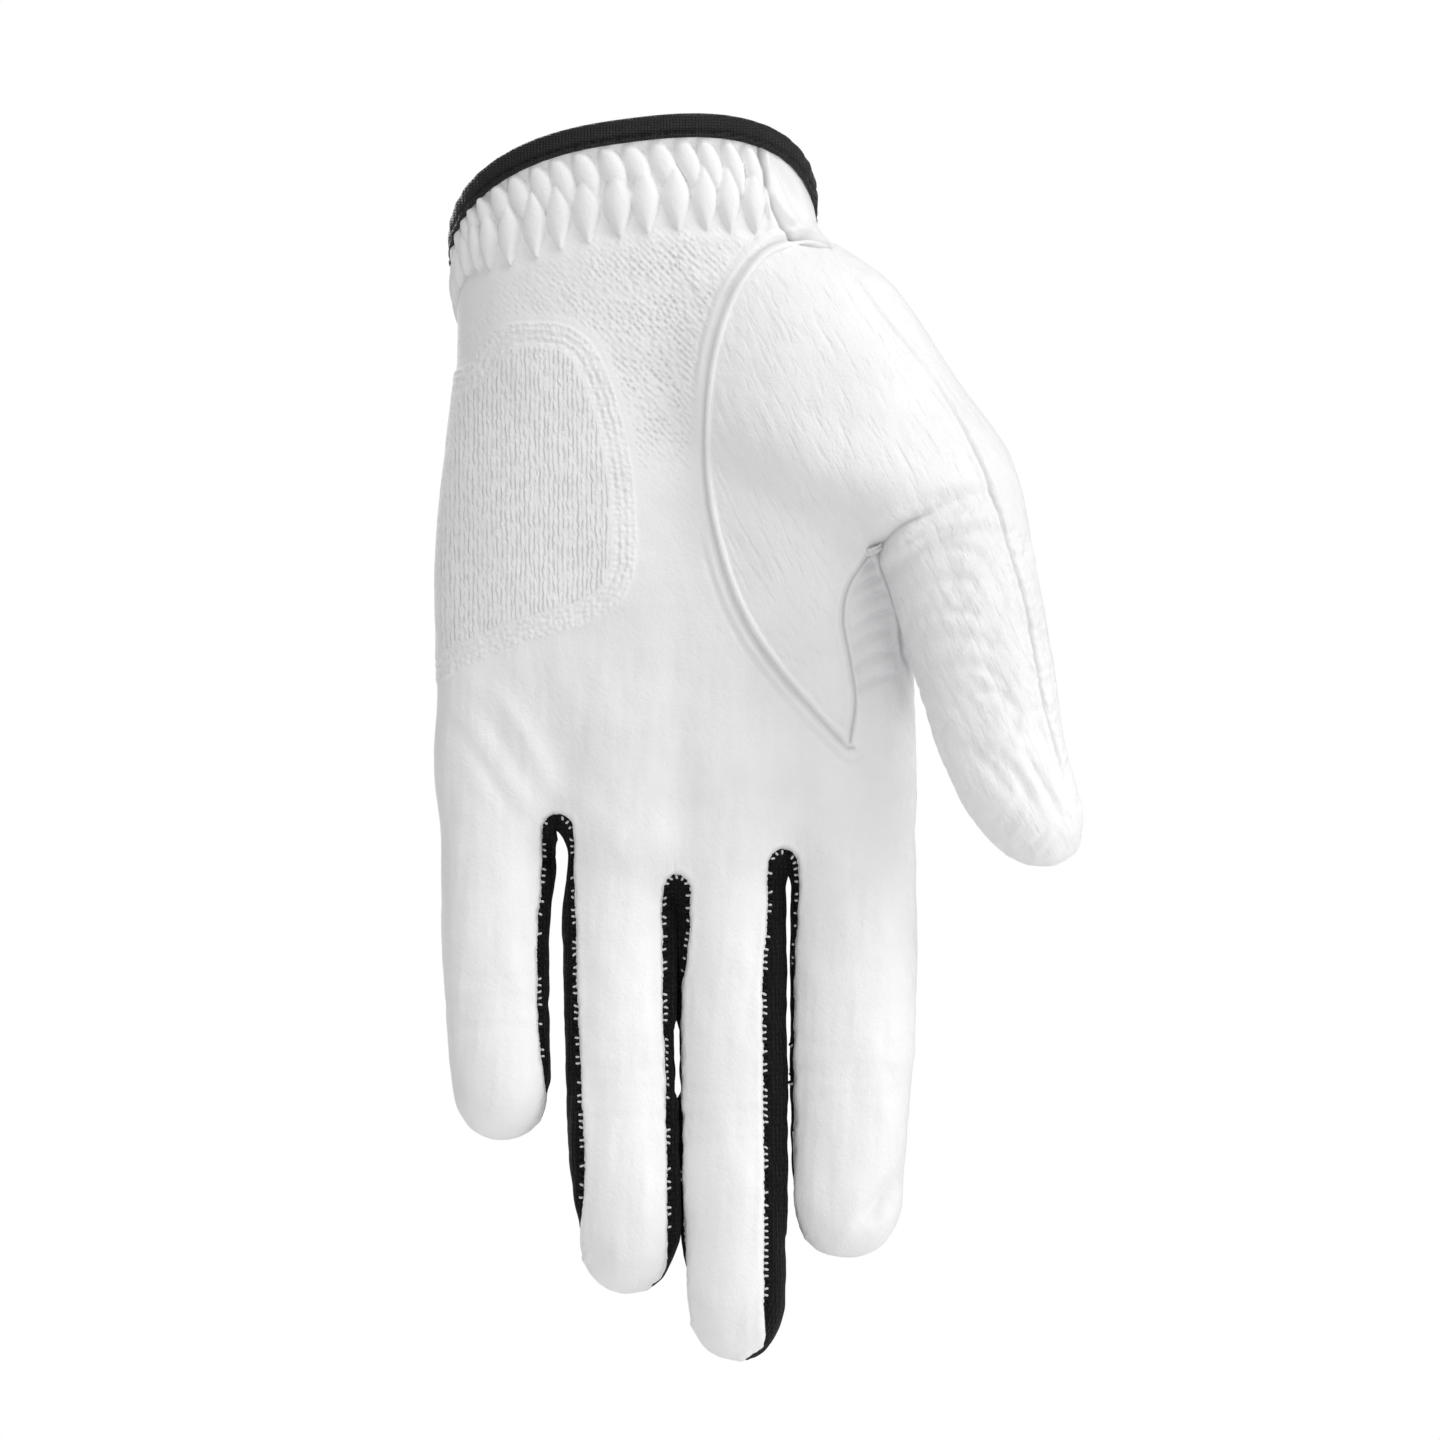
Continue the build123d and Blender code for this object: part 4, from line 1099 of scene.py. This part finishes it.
form, QUADS, TRIS = cut_leather()
form_normal = unit(gradient(form))
FIELDS = {name: loop_field(loop)(form) for name, loop in LOOPS.items()}
FIELDS["cuff_seam"] = line_distance(form[:, 0], form[:, 2], CUFF_SIDE_SEAM)[0]
FIELDS["side"], FIELDS["mesh"] = side_field(form), mesh_distance(form)
LIFT, MASKS = relief(form, form_normal, FIELDS)
SKIN = form + form_normal * LIFT[:, None]
NORMAL = vertex_normals(SKIN, QUADS, TRIS)
if (NORMAL * form_normal).sum(1).mean() < 0:
    QUADS, TRIS, NORMAL = QUADS[:, ::-1], TRIS[:, ::-1], -NORMAL
QUAD_NAMES = sort_faces(form[QUADS].mean(1))
TRI_NAMES = sort_faces(form[TRIS].mean(1))
SKIN_TREE = BVHTree.FromPolygons(SKIN.tolist(), QUADS.tolist() + TRIS.tolist())
FORM_TREE = BVHTree.FromPolygons(form.tolist(), QUADS.tolist() + TRIS.tolist())


# ---------------------------------------------------------------- making pieces
class Shape:
    """Vertices with normals, faces and materials, gathered from one or more parts."""

    def __init__(self):
        self.p, self.n, self.faces, self.mats, self.masks = [], [], [], [], []
        self.count = 0

    def add(self, p, n, faces, mat, masks=None):
        self.p.append(np.asarray(p, float))
        self.n.append(np.asarray(n, float))
        self.masks.append(masks)
        for group in faces:
            if len(group):
                self.faces += (np.asarray(group) + self.count).tolist()
                self.mats += [mat] * len(group)
        self.count += len(p)


def make_piece(name, shape, materials):
    p, n = np.vstack(shape.p), np.vstack(shape.n)
    mesh = bpy.data.meshes.new(name)
    mesh.from_pydata((p * MM).tolist(), [], shape.faces)
    mesh.polygons.foreach_set("material_index", np.array(shape.mats, np.int32))
    mesh.polygons.foreach_set("use_smooth", np.ones(len(shape.faces), bool))
    for m in materials:
        mesh.materials.append(m)
    rest = mesh.attributes.new("rest", "FLOAT_VECTOR", "POINT")
    rest.data.foreach_set("vector", p.astype(np.float32).ravel())
    for key in sorted({k for m in shape.masks if m for k in m}):
        values = np.concatenate([m[key] if m else np.zeros(len(q)) for m, q in zip(shape.masks, shape.p)])
        mesh.attributes.new(key, "FLOAT", "POINT").data.foreach_set("value", values.astype(np.float32))
    mesh.normals_split_custom_set_from_vertices(n.tolist())
    obj = bpy.data.objects.new(name, mesh)
    bpy.context.scene.collection.objects.link(obj)
    return obj


def leather_shape(name, thickness=0.6):
    """The part of the skin with this name, given a thickness inward and closed at its edges."""
    quads, tris = QUADS[QUAD_NAMES == name], TRIS[TRI_NAMES == name]
    used = np.unique(np.concatenate([quads.ravel(), tris.ravel()]))
    lookup = np.full(len(SKIN), -1)
    lookup[used] = np.arange(len(used))
    quads, tris = lookup[quads], lookup[tris]
    p, n = SKIN[used], NORMAL[used]
    inner = p - (n * 0.5 + form_normal[used] * 0.5) * thickness
    masks = {k: v[used] for k, v in MASKS.items()}
    shape = Shape()
    shape.add(p, n, (quads, tris), 0, masks)
    shape.add(inner, -n, (quads[:, ::-1], tris[:, ::-1]), 1, masks)
    edges = np.vstack([edges_of(quads), edges_of(tris)])
    keys = edges.min(1) * len(p) + edges.max(1)
    _, first, count = np.unique(keys, return_index=True, return_counts=True)
    rim = edges[first[count == 1]]
    a, b = rim.T
    out = unit(np.cross(p[b] - p[a], n[a]))
    corners = np.vstack([p[b], p[a], inner[a], inner[b]])
    m = len(rim)
    wall = np.stack([np.arange(m), np.arange(m) + m, np.arange(m) + 2 * m, np.arange(m) + 3 * m], 1)
    shape.add(corners, np.tile(out, (4, 1)), (wall,), 0, {k: np.tile(v[a], 4) for k, v in masks.items()})
    return shape


def on_skin(x, z, face="front", tree=None):
    """The point and outward normal where a line through (x, z) along Y meets the skin."""
    sign = -1 if face == "front" else 1
    hit, normal, _, _ = (tree or SKIN_TREE).ray_cast(Vector((x, sign * 100.0, z)), Vector((0, -sign, 0)))
    if hit is None:
        hit, normal, _, _ = (tree or SKIN_TREE).find_nearest(Vector((x, sign * 15.0, z)))
    normal = np.array(normal)
    return np.array(hit), normal * (1 if normal[1] * sign > 0 else -1)


def trace(curve, face="front", step=0.8, tree=None, soften=2):
    """Evenly spaced points of a curve in X and Z laid on the skin, with smoothed normals."""
    curve = np.asarray(curve, float)
    run = np.concatenate([[0], np.cumsum(np.hypot(*np.diff(curve, axis=0).T))])
    s = np.linspace(0, run[-1], max(int(run[-1] / step), 2))
    hits = [on_skin(a, b, face, tree) for a, b in zip(np.interp(s, run, curve[:, 0]), np.interp(s, run, curve[:, 1]))]
    p, n = np.array([h[0] for h in hits]), np.array([h[1] for h in hits])
    for _ in range(soften):
        p[1:-1] = (p[:-2] + 2 * p[1:-1] + p[2:]) / 4
        n[1:-1] = (n[:-2] + 2 * n[1:-1] + n[2:]) / 4
    return p, unit(n)


def sweep(shape, path, normals, profile, mat=0, wave=None):
    """Runs a closed outline along a path; each outline point is (across, out), in mm. wave(s) scales and shifts it."""
    path, normals = np.asarray(path), np.asarray(normals)
    tangent = unit(np.gradient(path, axis=0))
    across = unit(np.cross(tangent, normals))
    out = np.cross(across, tangent)
    run = np.concatenate([[0], np.cumsum(np.linalg.norm(np.diff(path, axis=0), axis=1))])
    profile = np.asarray(profile, float)
    k, m = len(profile), len(path)
    turn = np.roll(profile, -1, 0) - np.roll(profile, 1, 0)
    flat = unit(np.stack([turn[:, 1], -turn[:, 0]], 1))
    if np.sum(profile[:, 0] * np.roll(profile[:, 1], -1) - profile[:, 1] * np.roll(profile[:, 0], -1)) < 0:
        flat = -flat
    points, sides = [], []
    for i in range(m):
        scale, lift = wave(run[i], run[-1]) if wave else (1.0, 0.0)
        points.append(path[i] + np.outer(profile[:, 0] * scale, across[i])
                      + np.outer(profile[:, 1] * scale + lift, out[i]))
        sides.append(np.outer(flat[:, 0], across[i]) + np.outer(flat[:, 1], out[i]))
    a = np.arange(m - 1)[:, None] * k + np.arange(k)[None]
    b = np.arange(m - 1)[:, None] * k + (np.arange(k)[None] + 1) % k
    faces = np.stack([a, b, b + k, a + k], -1).reshape(-1, 4)
    points, sides = np.vstack(points), np.vstack(sides)
    face_normal = np.cross(points[faces[:, 1]] - points[faces[:, 0]], points[faces[:, 3]] - points[faces[:, 0]])
    if (face_normal * sides[faces[:, 0]]).sum() < 0:
        faces = faces[:, ::-1]
    shape.add(points, sides, (faces,), mat)
    for end, direction in ((0, -1), (m - 1, 1)):
        ring = points[end * k:(end + 1) * k]
        centre = ring.mean(0)
        fan = np.stack([np.arange(k), (np.arange(k) + 1) % k, np.full(k, k)], 1)
        facing = np.cross(ring[fan[:, 1]] - ring[fan[:, 0]], centre - ring[fan[:, 0]]).sum(0)
        if (facing @ tangent[end]) * direction < 0:
            fan = fan[:, ::-1]
        shape.add(np.vstack([ring, centre]), np.tile(tangent[end] * direction, (k + 1, 1)), (fan,), mat)


def thread(shape, start, end, normal, radius=0.22, rise=0.2, mat=0):
    """One stitch: a short round thread that dips into the leather at both ends."""
    start, end, normal = (np.asarray(v, float) for v in (start, end, normal))
    t = np.linspace(0, 1, 6)
    path = start + np.outer(t, end - start) + np.outer((np.sin(pi * t) ** 0.6 * (rise + radius) - radius * 0.9), normal)
    circle = np.stack([np.cos(np.arange(6) * pi / 3), np.sin(np.arange(6) * pi / 3)], 1) * radius
    sweep(shape, path, np.tile(normal, (6, 1)), circle, mat)


def stitch_row(shape, curve, face, pitch, length, radius, rise, offset, mat):
    """Stitches that lie along a curve, shifted sideways by offset."""
    p, n = trace(curve, face, pitch, soften=1)
    for centre, normal, along in zip(p, n, unit(np.gradient(p, axis=0))):
        centre = centre + np.cross(along, normal) * offset
        thread(shape, centre - along * length / 2, centre + along * length / 2, normal, radius, rise, mat)


# ---------------------------------------------------------------- leather, mesh and stitching
def riding(name, shape, mats, node, body="palm"):
    """A piece that moves with one body and stands for one CAD node."""
    obj = make_piece(name, shape, mats)
    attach(obj, body)
    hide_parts(node)


def bending(name, shape, mats, nodes):
    """A piece whose place is baked into its mesh, and which stands for some CAD nodes."""
    obj = make_piece(name, shape, mats)
    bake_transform(obj)
    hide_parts(*nodes)


LEATHER_MATS = (WHITE, INSIDE, THREAD, BLACK_THREAD)
KNIT_MATS = (KNIT, KNIT, THREAD)


def finger_zone(name, part):
    """Whether a point belongs to that part of that finger."""
    k, cuts = FINGERS.index(name), CUTS[name]

    def inside(point):
        c = np.array([point])
        if is_thumb(c)[0] or nearest_finger(c)[0] != k:
            return False
        z = point[2]
        return (cuts["middle"] < z < cuts["root"]) if part == "lower" else z <= cuts["middle"]
    return inside


def strip_stitches(shape, zone):
    """Short uneven threads, black and white, whipped over the leather's edge where it meets the mesh."""
    r = np.random.default_rng(5)
    for (_, face), loop in GAP_LOOPS.items():
        for curve in (loop[:ARCH_POINTS + SEAM_POINTS], loop[-SEAM_POINTS:]):
            curve = curve[curve[:, 1] > curve[:, 1].min() + 9]
            if len(curve) < 3:
                continue
            p, n = trace(curve, face, 1.15, soften=1)
            tangent = unit(np.gradient(p, axis=0))
            for i in range(1, len(p) - 1):
                lean, size, shift = r.uniform(-0.7, 0.7), r.uniform(0.45, 1.1), r.uniform(-0.25, 0.2)
                if zone(p[i]) and abs(n[i][1]) > 0.25 and abs(mesh_distance(p[i:i + 1])[0]) < 0.7:
                    side = np.cross(tangent[i], n[i])
                    direction = unit(side + tangent[i] * lean)
                    middle, half = p[i] + side * shift, direction * 0.75 * size
                    thread(shape, middle - half, middle + half, n[i], 0.26, 0.12, 3)
                    over = mesh_distance(p[i:i + 1] + side * 0.3)[0] < mesh_distance(p[i:i + 1] - side * 0.3)[0]
                    middle, half = p[i] + side * (0.04 if over else -0.04) + tangent[i] * 0.55, direction * 0.34 * size
                    if size > 0.7:
                        thread(shape, middle - half, middle + half, n[i], 0.24, 0.10, 2)


def palm_zone(point):
    k = nearest_finger(np.array([point]))[0]
    return point[2] >= CUTS[FINGERS[k]]["root"]


PALM_SHEETS = {
    "palm_leather": ("palm_panel", LEATHER_MATS, "white_leather"),
    "heel_ply": ("heel_patch", (RIBBED, INSIDE), "ribbed_leather"),
    "thenar_leather": ("thenar_panel", LEATHER_MATS, "white_leather"),
    "web_leather": ("web_gusset", LEATHER_MATS, "white_leather"),
    "back_leather": ("back_panel", LEATHER_MATS, "white_leather"),
    "thumb_back_leather": ("thumb_back_panel", LEATHER_MATS, "white_leather"),
    "knuckle_knit": ("knuckle_mesh", KNIT_MATS, "black_mesh"),
    "crotch_knit": ("fourchette_forks", KNIT_MATS, "black_mesh"),
}
for piece, (node, mats, slot_name) in PALM_SHEETS.items():
    shape = leather_shape(piece)
    if piece == "palm_leather":
        strip_stitches(shape, palm_zone)
    if piece == "back_leather":
        stitch_row(shape, KNUCKLE_LOOP, "back", 2.2, 1.6, 0.2, 0.15, -1.2, 2)
    riding(piece, shape, mats, node)

for name in FINGERS:
    for part, joint, bodies in (("lower", "base", ("palm", name + "_lower")),
                                ("upper", "middle", (name + "_lower", name + "_upper"))):
        start, end = ((0, 0, z) for z in CUTS[name][joint + "_bend"])
        for side, node in (("palm", "front"), ("back", "back")):
            label = f"{name}_{part}_{side}_leather"
            shape, nodes = leather_shape(label), [f"{name}_{part}_{node}"]
            if side == "palm":
                strip_stitches(shape, finger_zone(name, part))
                nodes.append(f"{name}_{joint}_crease")
            bending(label, shape, LEATHER_MATS, nodes)
        label = f"{name}_{part}_knit"
        bending(label, leather_shape(label), KNIT_MATS, [f"{name}_{part}_fourchettes"])

for side, extra in (("front", ["thumb_crease"]), ("back", [])):
    label = f"thumb_tip_{side}_leather"
    bending(label, leather_shape(label), LEATHER_MATS, [f"thumb_tip_{side}"] + extra)


# ---------------------------------------------------------------- welt, bar tack, bindings and elastic
def oval(width, height, count=12, base=0.0):
    a = np.arange(count) * 2 * pi / count
    return np.stack([np.cos(a) * width / 2, np.sin(a) * height / 2 + base], 1)


welt = Shape()
p, n = trace(THENAR_SEAM[2:-1], "front", 0.45, soften=6)
sweep(welt, p, n, oval(1.25, 0.9, 12, 0.1), 0, lambda s, end: (
    (0.8 + 0.06 * sin(s * 2 * pi / 2.4) + 0.08 * sin(s * 0.9)) * min(1.0, 0.25 + s / 5, 0.25 + (end - s) / 5), 0.0))
riding("welt_roll", welt, (WHITE,), "thenar_welt")

tack = Shape()
r = np.random.default_rng(9)
for k in range(7):
    a, n = on_skin(43.1 + r.uniform(-0.2, 0.2), -61.2 + 0.17 * k, tree=FORM_TREE)
    b, _ = on_skin(45.8 + r.uniform(-0.2, 0.2), -60.3 + 0.17 * k, tree=FORM_TREE)
    thread(tack, a, b, n, 0.24, 0.45 + 0.12 * (k % 2), 0)
for k in range(3):
    a, n = on_skin(43.7 + 0.7 * k, -61.2 + 0.2 * k, tree=FORM_TREE)
    b, _ = on_skin(43.9 + 0.7 * k, -59.9 + 0.2 * k, tree=FORM_TREE)
    thread(tack, a, b, n, 0.2, 0.75, 0)
riding("bar_tack_knot", tack, (THREAD,), "bartack")


def rim_path(start, end, depth=0.0, count=260):
    """Points on the smooth form along the wrist opening, a set depth below its edge; angles run round the hand."""
    points = []
    for angle in np.linspace(start, end, count):
        c, s = cos(angle), sin(angle)
        z = 0.0
        for _ in range(6):
            xc, hw, yc, hd = (at(column, z) for column in PALM)
            reach = (abs(c / hw) ** 2.5 + abs(s / hd) ** 2.5) ** (-1 / 2.5)
            x, y = xc + c * reach, yc + s * reach
            z = rim_height(x, y) - depth
        points.append((x, y, z))
    points = project(np.array(points), 3)
    for _ in range(4):
        points[1:-1] = (points[:-2] + 2 * points[1:-1] + points[2:]) / 4
    points[:, 2] = rim_height(points[:, 0], points[:, 1]) - depth
    normals = gradient(points)
    normals[:, 2] = 0
    return points, unit(normals)


# A tape folded over an edge: (down from the edge, out from the leather). The leather fills -0.6 to 0.
FOLDED_TAPE = [(3.75, 0.14), (3.8, 0.45), (3.6, 0.80), (3.1, 0.84), (2.85, 0.74), (2.65, 0.52), (2.4, 0.74),
               (2.0, 0.92), (1.2, 0.98), (0.3, 0.88), (-0.35, 0.55), (-0.65, 0.0), (-0.65, -0.7), (-0.4, -1.2),
               (0.3, -1.5), (1.6, -1.5), (3.0, -1.4), (3.6, -1.2), (3.7, -0.76), (0.2, -0.76), (0.2, 0.14)]
SLIT_X = (-6.6, 2.6)


def slit_angle(x):
    """The angle round the opening at which the back's rim has this X."""
    _, hw, yc, hd = (at(column, -6.0) for column in PALM)
    return np.arctan2(yc + hd * (1 - abs(x / hw) ** 2.5) ** 0.4, x)


binding = Shape()
start, end = slit_angle(SLIT_X[1]), slit_angle(SLIT_X[0]) - 2 * pi
path, normals = rim_path(start, end)
down = np.cross(np.gradient(path, axis=0), normals)
sign = -1 if down[:, 2].mean() > 0 else 1
sweep(binding, path, normals, [(sign * a, b) for a, b in FOLDED_TAPE], 0,
      lambda s, total: (1.0, 0.10 * sin(s * 2 * pi / 4.4) + 0.06 * sin(s * 2 * pi / 2.7 + 1)))
row, row_normals = rim_path(start, end, 2.9, 90)
for a, b, n in zip(row[:-1], row[1:], row_normals[:-1]):
    lift = n * 0.68
    thread(binding, a + lift + (b - a) * 0.12, b + lift - (b - a) * 0.16, n, 0.17, 0.06, 1)
riding("wrist_binding_tape", binding, (BINDING, BLACK_THREAD), "wrist_binding")

slit = Shape()
left = spline([(-6.0, -7.0), (-4.9, -22.0), (-3.6, -40.0), (-3.3, -45.0), (-2.9, -46.6), (-2.0, -47.4), (-1.1, -46.6),
               (-0.7, -45.0), (-0.4, -40.0), (0.9, -22.0), (2.0, -7.0)], 12)
p, n = trace(left, "back", 0.5, FORM_TREE, 5)
SLIT_TAPE = [(3.5, 0.12), (3.55, 0.5), (3.3, 0.8), (2.0, 0.9), (0.4, 0.88), (-0.35, 0.5), (-0.6, -0.05), (-0.6, -0.7),
             (-0.3, -1.2), (0.5, -1.4), (3.0, -1.35), (3.4, -1.1), (3.4, -0.78), (0.15, -0.78), (0.15, 0.12)]
sweep(slit, p, n, [(-a, b) for a, b in SLIT_TAPE], 0)
riding("slit_binding_tape", slit, (BINDING,), "slit_binding")

elastic = Shape()
for depth in (9.0, 15.5):
    path, normals = rim_path(-pi + 0.35, -0.62, depth, 150)
    flat = [(-1.5, -0.75), (1.5, -0.75), (1.6, -1.1), (1.5, -1.45), (-1.5, -1.45), (-1.6, -1.1)]
    sweep(elastic, path, normals, flat, 0, lambda s, total: (1.0, 0.12 * sin(s * 2 * pi / 4.3)))
riding("cuff_elastic", elastic, (ELASTIC,), "wrist_elastics")


# ---------------------------------------------------------------- closure tab on the back of the hand
def rounded(x, x0, x1, half, r0, r1):
    """Half width at x of a strip from x0 to x1 with its corners rounded by r0 and r1."""
    h = half
    if x < x0 + r0:
        h = half - r0 + r0 * np.sqrt(max(1 - ((x0 + r0 - x) / r0) ** 2, 0.0))
    if x > x1 - r1:
        h = min(h, half - r1 + r1 * np.sqrt(max(1 - ((x - x1 + r1) / r1) ** 2, 0.0)))
    return h


def layer(shape, x0, x1, z_mid, half, r0, r1, low, high, mat=0, under=None, dome=0.0, edge=0.35):
    """A sheet that follows the back of the hand between two offsets, with soft edges and rounded corners."""
    turn = (1 - np.cos(np.linspace(0, pi, 34))) / 2
    xs = x0 + (x1 - x0) * turn
    vs = np.sin(np.linspace(-pi / 2, pi / 2, 19))
    grid = []
    for x in xs:
        h = rounded(x, x0, x1, half, r0, r1)
        for v in vs:
            hit, n = on_skin(x, z_mid + v * h, "back", FORM_TREE)
            rim = min(1.0, (1 - abs(v)) * h / 0.8, (x - x0) / 0.8 + 0.02, (x1 - x) / 0.8 + 0.02)
            grid.append((hit, n, rim, dome * (1 - v * v)))
    hit, n = np.array([g[0] for g in grid]), np.array([g[1] for g in grid])
    rim, rise = np.array([g[2] for g in grid]), np.array([g[3] for g in grid])
    cols = len(vs)
    soft = n.reshape(len(xs), cols, 3)
    for _ in range(6):
        soft[1:-1] = (soft[:-2] + 2 * soft[1:-1] + soft[2:]) / 4
    n = unit(soft.reshape(-1, 3))
    i = np.arange(len(xs) - 1)[:, None] * cols + np.arange(cols - 1)[None]
    faces = np.stack([i, i + 1, i + 1 + cols, i + cols], -1).reshape(-1, 4)
    round_over = edge * (1 - np.sqrt(np.clip(1 - (1 - rim) ** 2, 0, 1)))
    top = hit + n * (high - round_over + rise)[:, None]
    bottom = hit + n * (low + 0.4 * round_over)[:, None]
    facing = np.cross(top[faces[:, 1]] - top[faces[:, 0]], top[faces[:, 3]] - top[faces[:, 0]])
    if (facing * n[faces[:, 0]]).sum() < 0:
        faces = faces[:, ::-1]
    top_normal = vertex_normals(top, faces, np.zeros((0, 3), int))
    shape.add(top, top_normal, (faces,), mat)
    shape.add(bottom, -n, (faces[:, ::-1],), mat if under is None else under)
    rows = len(xs)
    ring = np.concatenate([np.arange(cols), np.arange(2, rows + 1) * cols - 1,
                           (rows - 1) * cols + np.arange(cols - 2, -1, -1), np.arange(rows - 2, 0, -1) * cols])
    after = np.roll(ring, -1)
    wall = np.stack([np.arange(len(ring)), (np.arange(len(ring)) + 1) % len(ring)], 1)
    m = len(ring)
    both = np.vstack([top[ring], bottom[ring]])
    out = np.cross(top[after] - top[ring], n[ring])
    centre = top.mean(0)
    if ((top[ring] - centre) * out).sum() < 0:
        out = -out
        walls = np.stack([wall[:, 0], wall[:, 1], wall[:, 1] + m, wall[:, 0] + m], 1)
    else:
        walls = np.stack([wall[:, 1], wall[:, 0], wall[:, 0] + m, wall[:, 1] + m], 1)
    out = unit(out)
    shape.add(both, np.vstack([out, out]), (walls,), mat)


def tab_stitches(shape, x0, x1, z_mid, half, inset, height, mat):
    """Stitches round the edge of a sheet on the back, lying on top of it."""
    corners = [(x1, half - inset), (x0 + inset + 2, half - inset), (x0 + inset, half - inset - 2),
               (x0 + inset, -half + inset + 2), (x0 + inset + 2, -half + inset), (x1, -half + inset)]
    p, n = trace([(a, z_mid + b) for a, b in corners], "back", 2.1, FORM_TREE, 1)
    for a, b, normal in zip(p[:-1], p[1:], n[:-1]):
        lift = normal * height
        thread(shape, a + lift + (b - a) * 0.12, b + lift - (b - a) * 0.2, normal, 0.17, 0.05, mat)


TAB_MID, TAB_HALF = -27.0, 11.0
pad = Shape()
layer(pad, -29.0, -10.5, TAB_MID, 10.2, 2.5, 1.0, 0.05, 0.88)
riding("loop_pad_pile", pad, (LOOP,), "loop_pad")

base = Shape()
layer(base, 12.2, 24.0, TAB_MID, TAB_HALF, 1.5, 2.0, 0.05, 1.13)
tab_stitches(base, 12.2, 24.0, TAB_MID, TAB_HALF, 1.2, 1.13, 1)
riding("tab_anchor", base, (WHITE, THREAD), "tab_base")

flap = Shape()
layer(flap, -27.0, 11.6, TAB_MID, TAB_HALF, 5.0, 0.8, 2.18, 3.3, 0, 1, 0.12)
tab_stitches(flap, -27.0, 11.0, TAB_MID, TAB_HALF, 1.5, 3.36, 2)
riding("closure_flap", flap, (WHITE, INSIDE, THREAD), "closure_tab", "closure_tab")

hooks = Shape()
layer(hooks, -25.5, -11.0, TAB_MID, 9.2, 2.5, 1.0, 1.28, 2.12)
riding("hook_tape_pad", hooks, (HOOK,), "hook_pad", "closure_tab")

fold = Shape()
layer(fold, 9.0, 13.8, TAB_MID, TAB_HALF - 0.4, 0.8, 0.8, 1.22, 2.08)
bending("tab_fold_leather", fold, (WHITE,), ["tab_fold"])


# ---------------------------------------------------------------- stage, light and camera
paint = Material("floor_paint")
cloud = paint.add("TexNoise", {"Scale": 3.0, "Detail": 2.0}).outputs["Fac"]
FLOOR_COLOUR = (0.85, 0.85, 0.86)
paint.finish(paint.ramp(cloud, [(0.3, tuple(c * 0.985 for c in FLOOR_COLOUR)), (0.7, FLOOR_COLOUR)]), 0.9)
angle = np.linspace(0, 2 * pi, 96, endpoint=False)
floor_mesh = bpy.data.meshes.new("floor")
floor_mesh.from_pydata([(0.016 + 0.5 * cos(a), 0.5 * sin(a), -0.30) for a in angle], [], [list(range(96))])
floor_mesh.materials.append(paint.made)
floor = bpy.data.objects.new("floor", floor_mesh)
bpy.context.scene.collection.objects.link(floor)


CENTRE = (0.016, 0.0, -0.09)


def area_light(name, place, size, power):
    """A square white light that faces the middle of the glove."""
    data = bpy.data.lights.new(name, "AREA")
    data.energy, data.size = power, size
    obj = bpy.data.objects.new(name, data)
    obj.location = place
    obj.rotation_euler = (Vector(CENTRE) - Vector(place)).to_track_quat("-Z", "Y").to_euler()
    bpy.context.scene.collection.objects.link(obj)


area_light("front", (0.016, -1.6, -0.09), 0.9, 5.1)
area_light("right", (1.516, -0.4, 0.01), 0.7, 8.4)
area_light("top", (0.116, -0.5, 1.41), 0.6, 8.4)
area_light("behind", (-0.5, 1.5, 0.5), 1.2, 14)
area_light("upper_right", (1.016, -0.9, 0.91), 0.6, 3.4)

world = bpy.data.worlds.new("studio")
world.use_nodes = True
nodes, links = world.node_tree.nodes, world.node_tree.links
for node in list(nodes):
    nodes.remove(node)
output, mix, path = (nodes.new("ShaderNode" + kind) for kind in ("OutputWorld", "MixShader", "LightPath"))
for k, strength in enumerate((0.42, 1.0)):
    background = nodes.new("ShaderNodeBackground")
    background.inputs["Color"].default_value = (1, 1, 1, 1)
    background.inputs["Strength"].default_value = strength
    links.new(background.outputs[0], mix.inputs[k + 1])
links.new(path.outputs["Is Camera Ray"], mix.inputs["Fac"])
links.new(mix.outputs[0], output.inputs["Surface"])
bpy.context.scene.world = world
bpy.context.scene.view_settings.view_transform = "Standard"

camera_data = bpy.data.cameras.new("camera")
camera_data.sensor_width = 36.0
camera_data.lens = 36.0 * 2.4 / 0.2664
camera = bpy.data.objects.new("camera", camera_data)
camera.location = (0.01628, -2.4, -0.09139)
camera.rotation_euler = (radians(90), 0, 0)
bpy.context.scene.collection.objects.link(camera)
bpy.context.scene.camera = camera
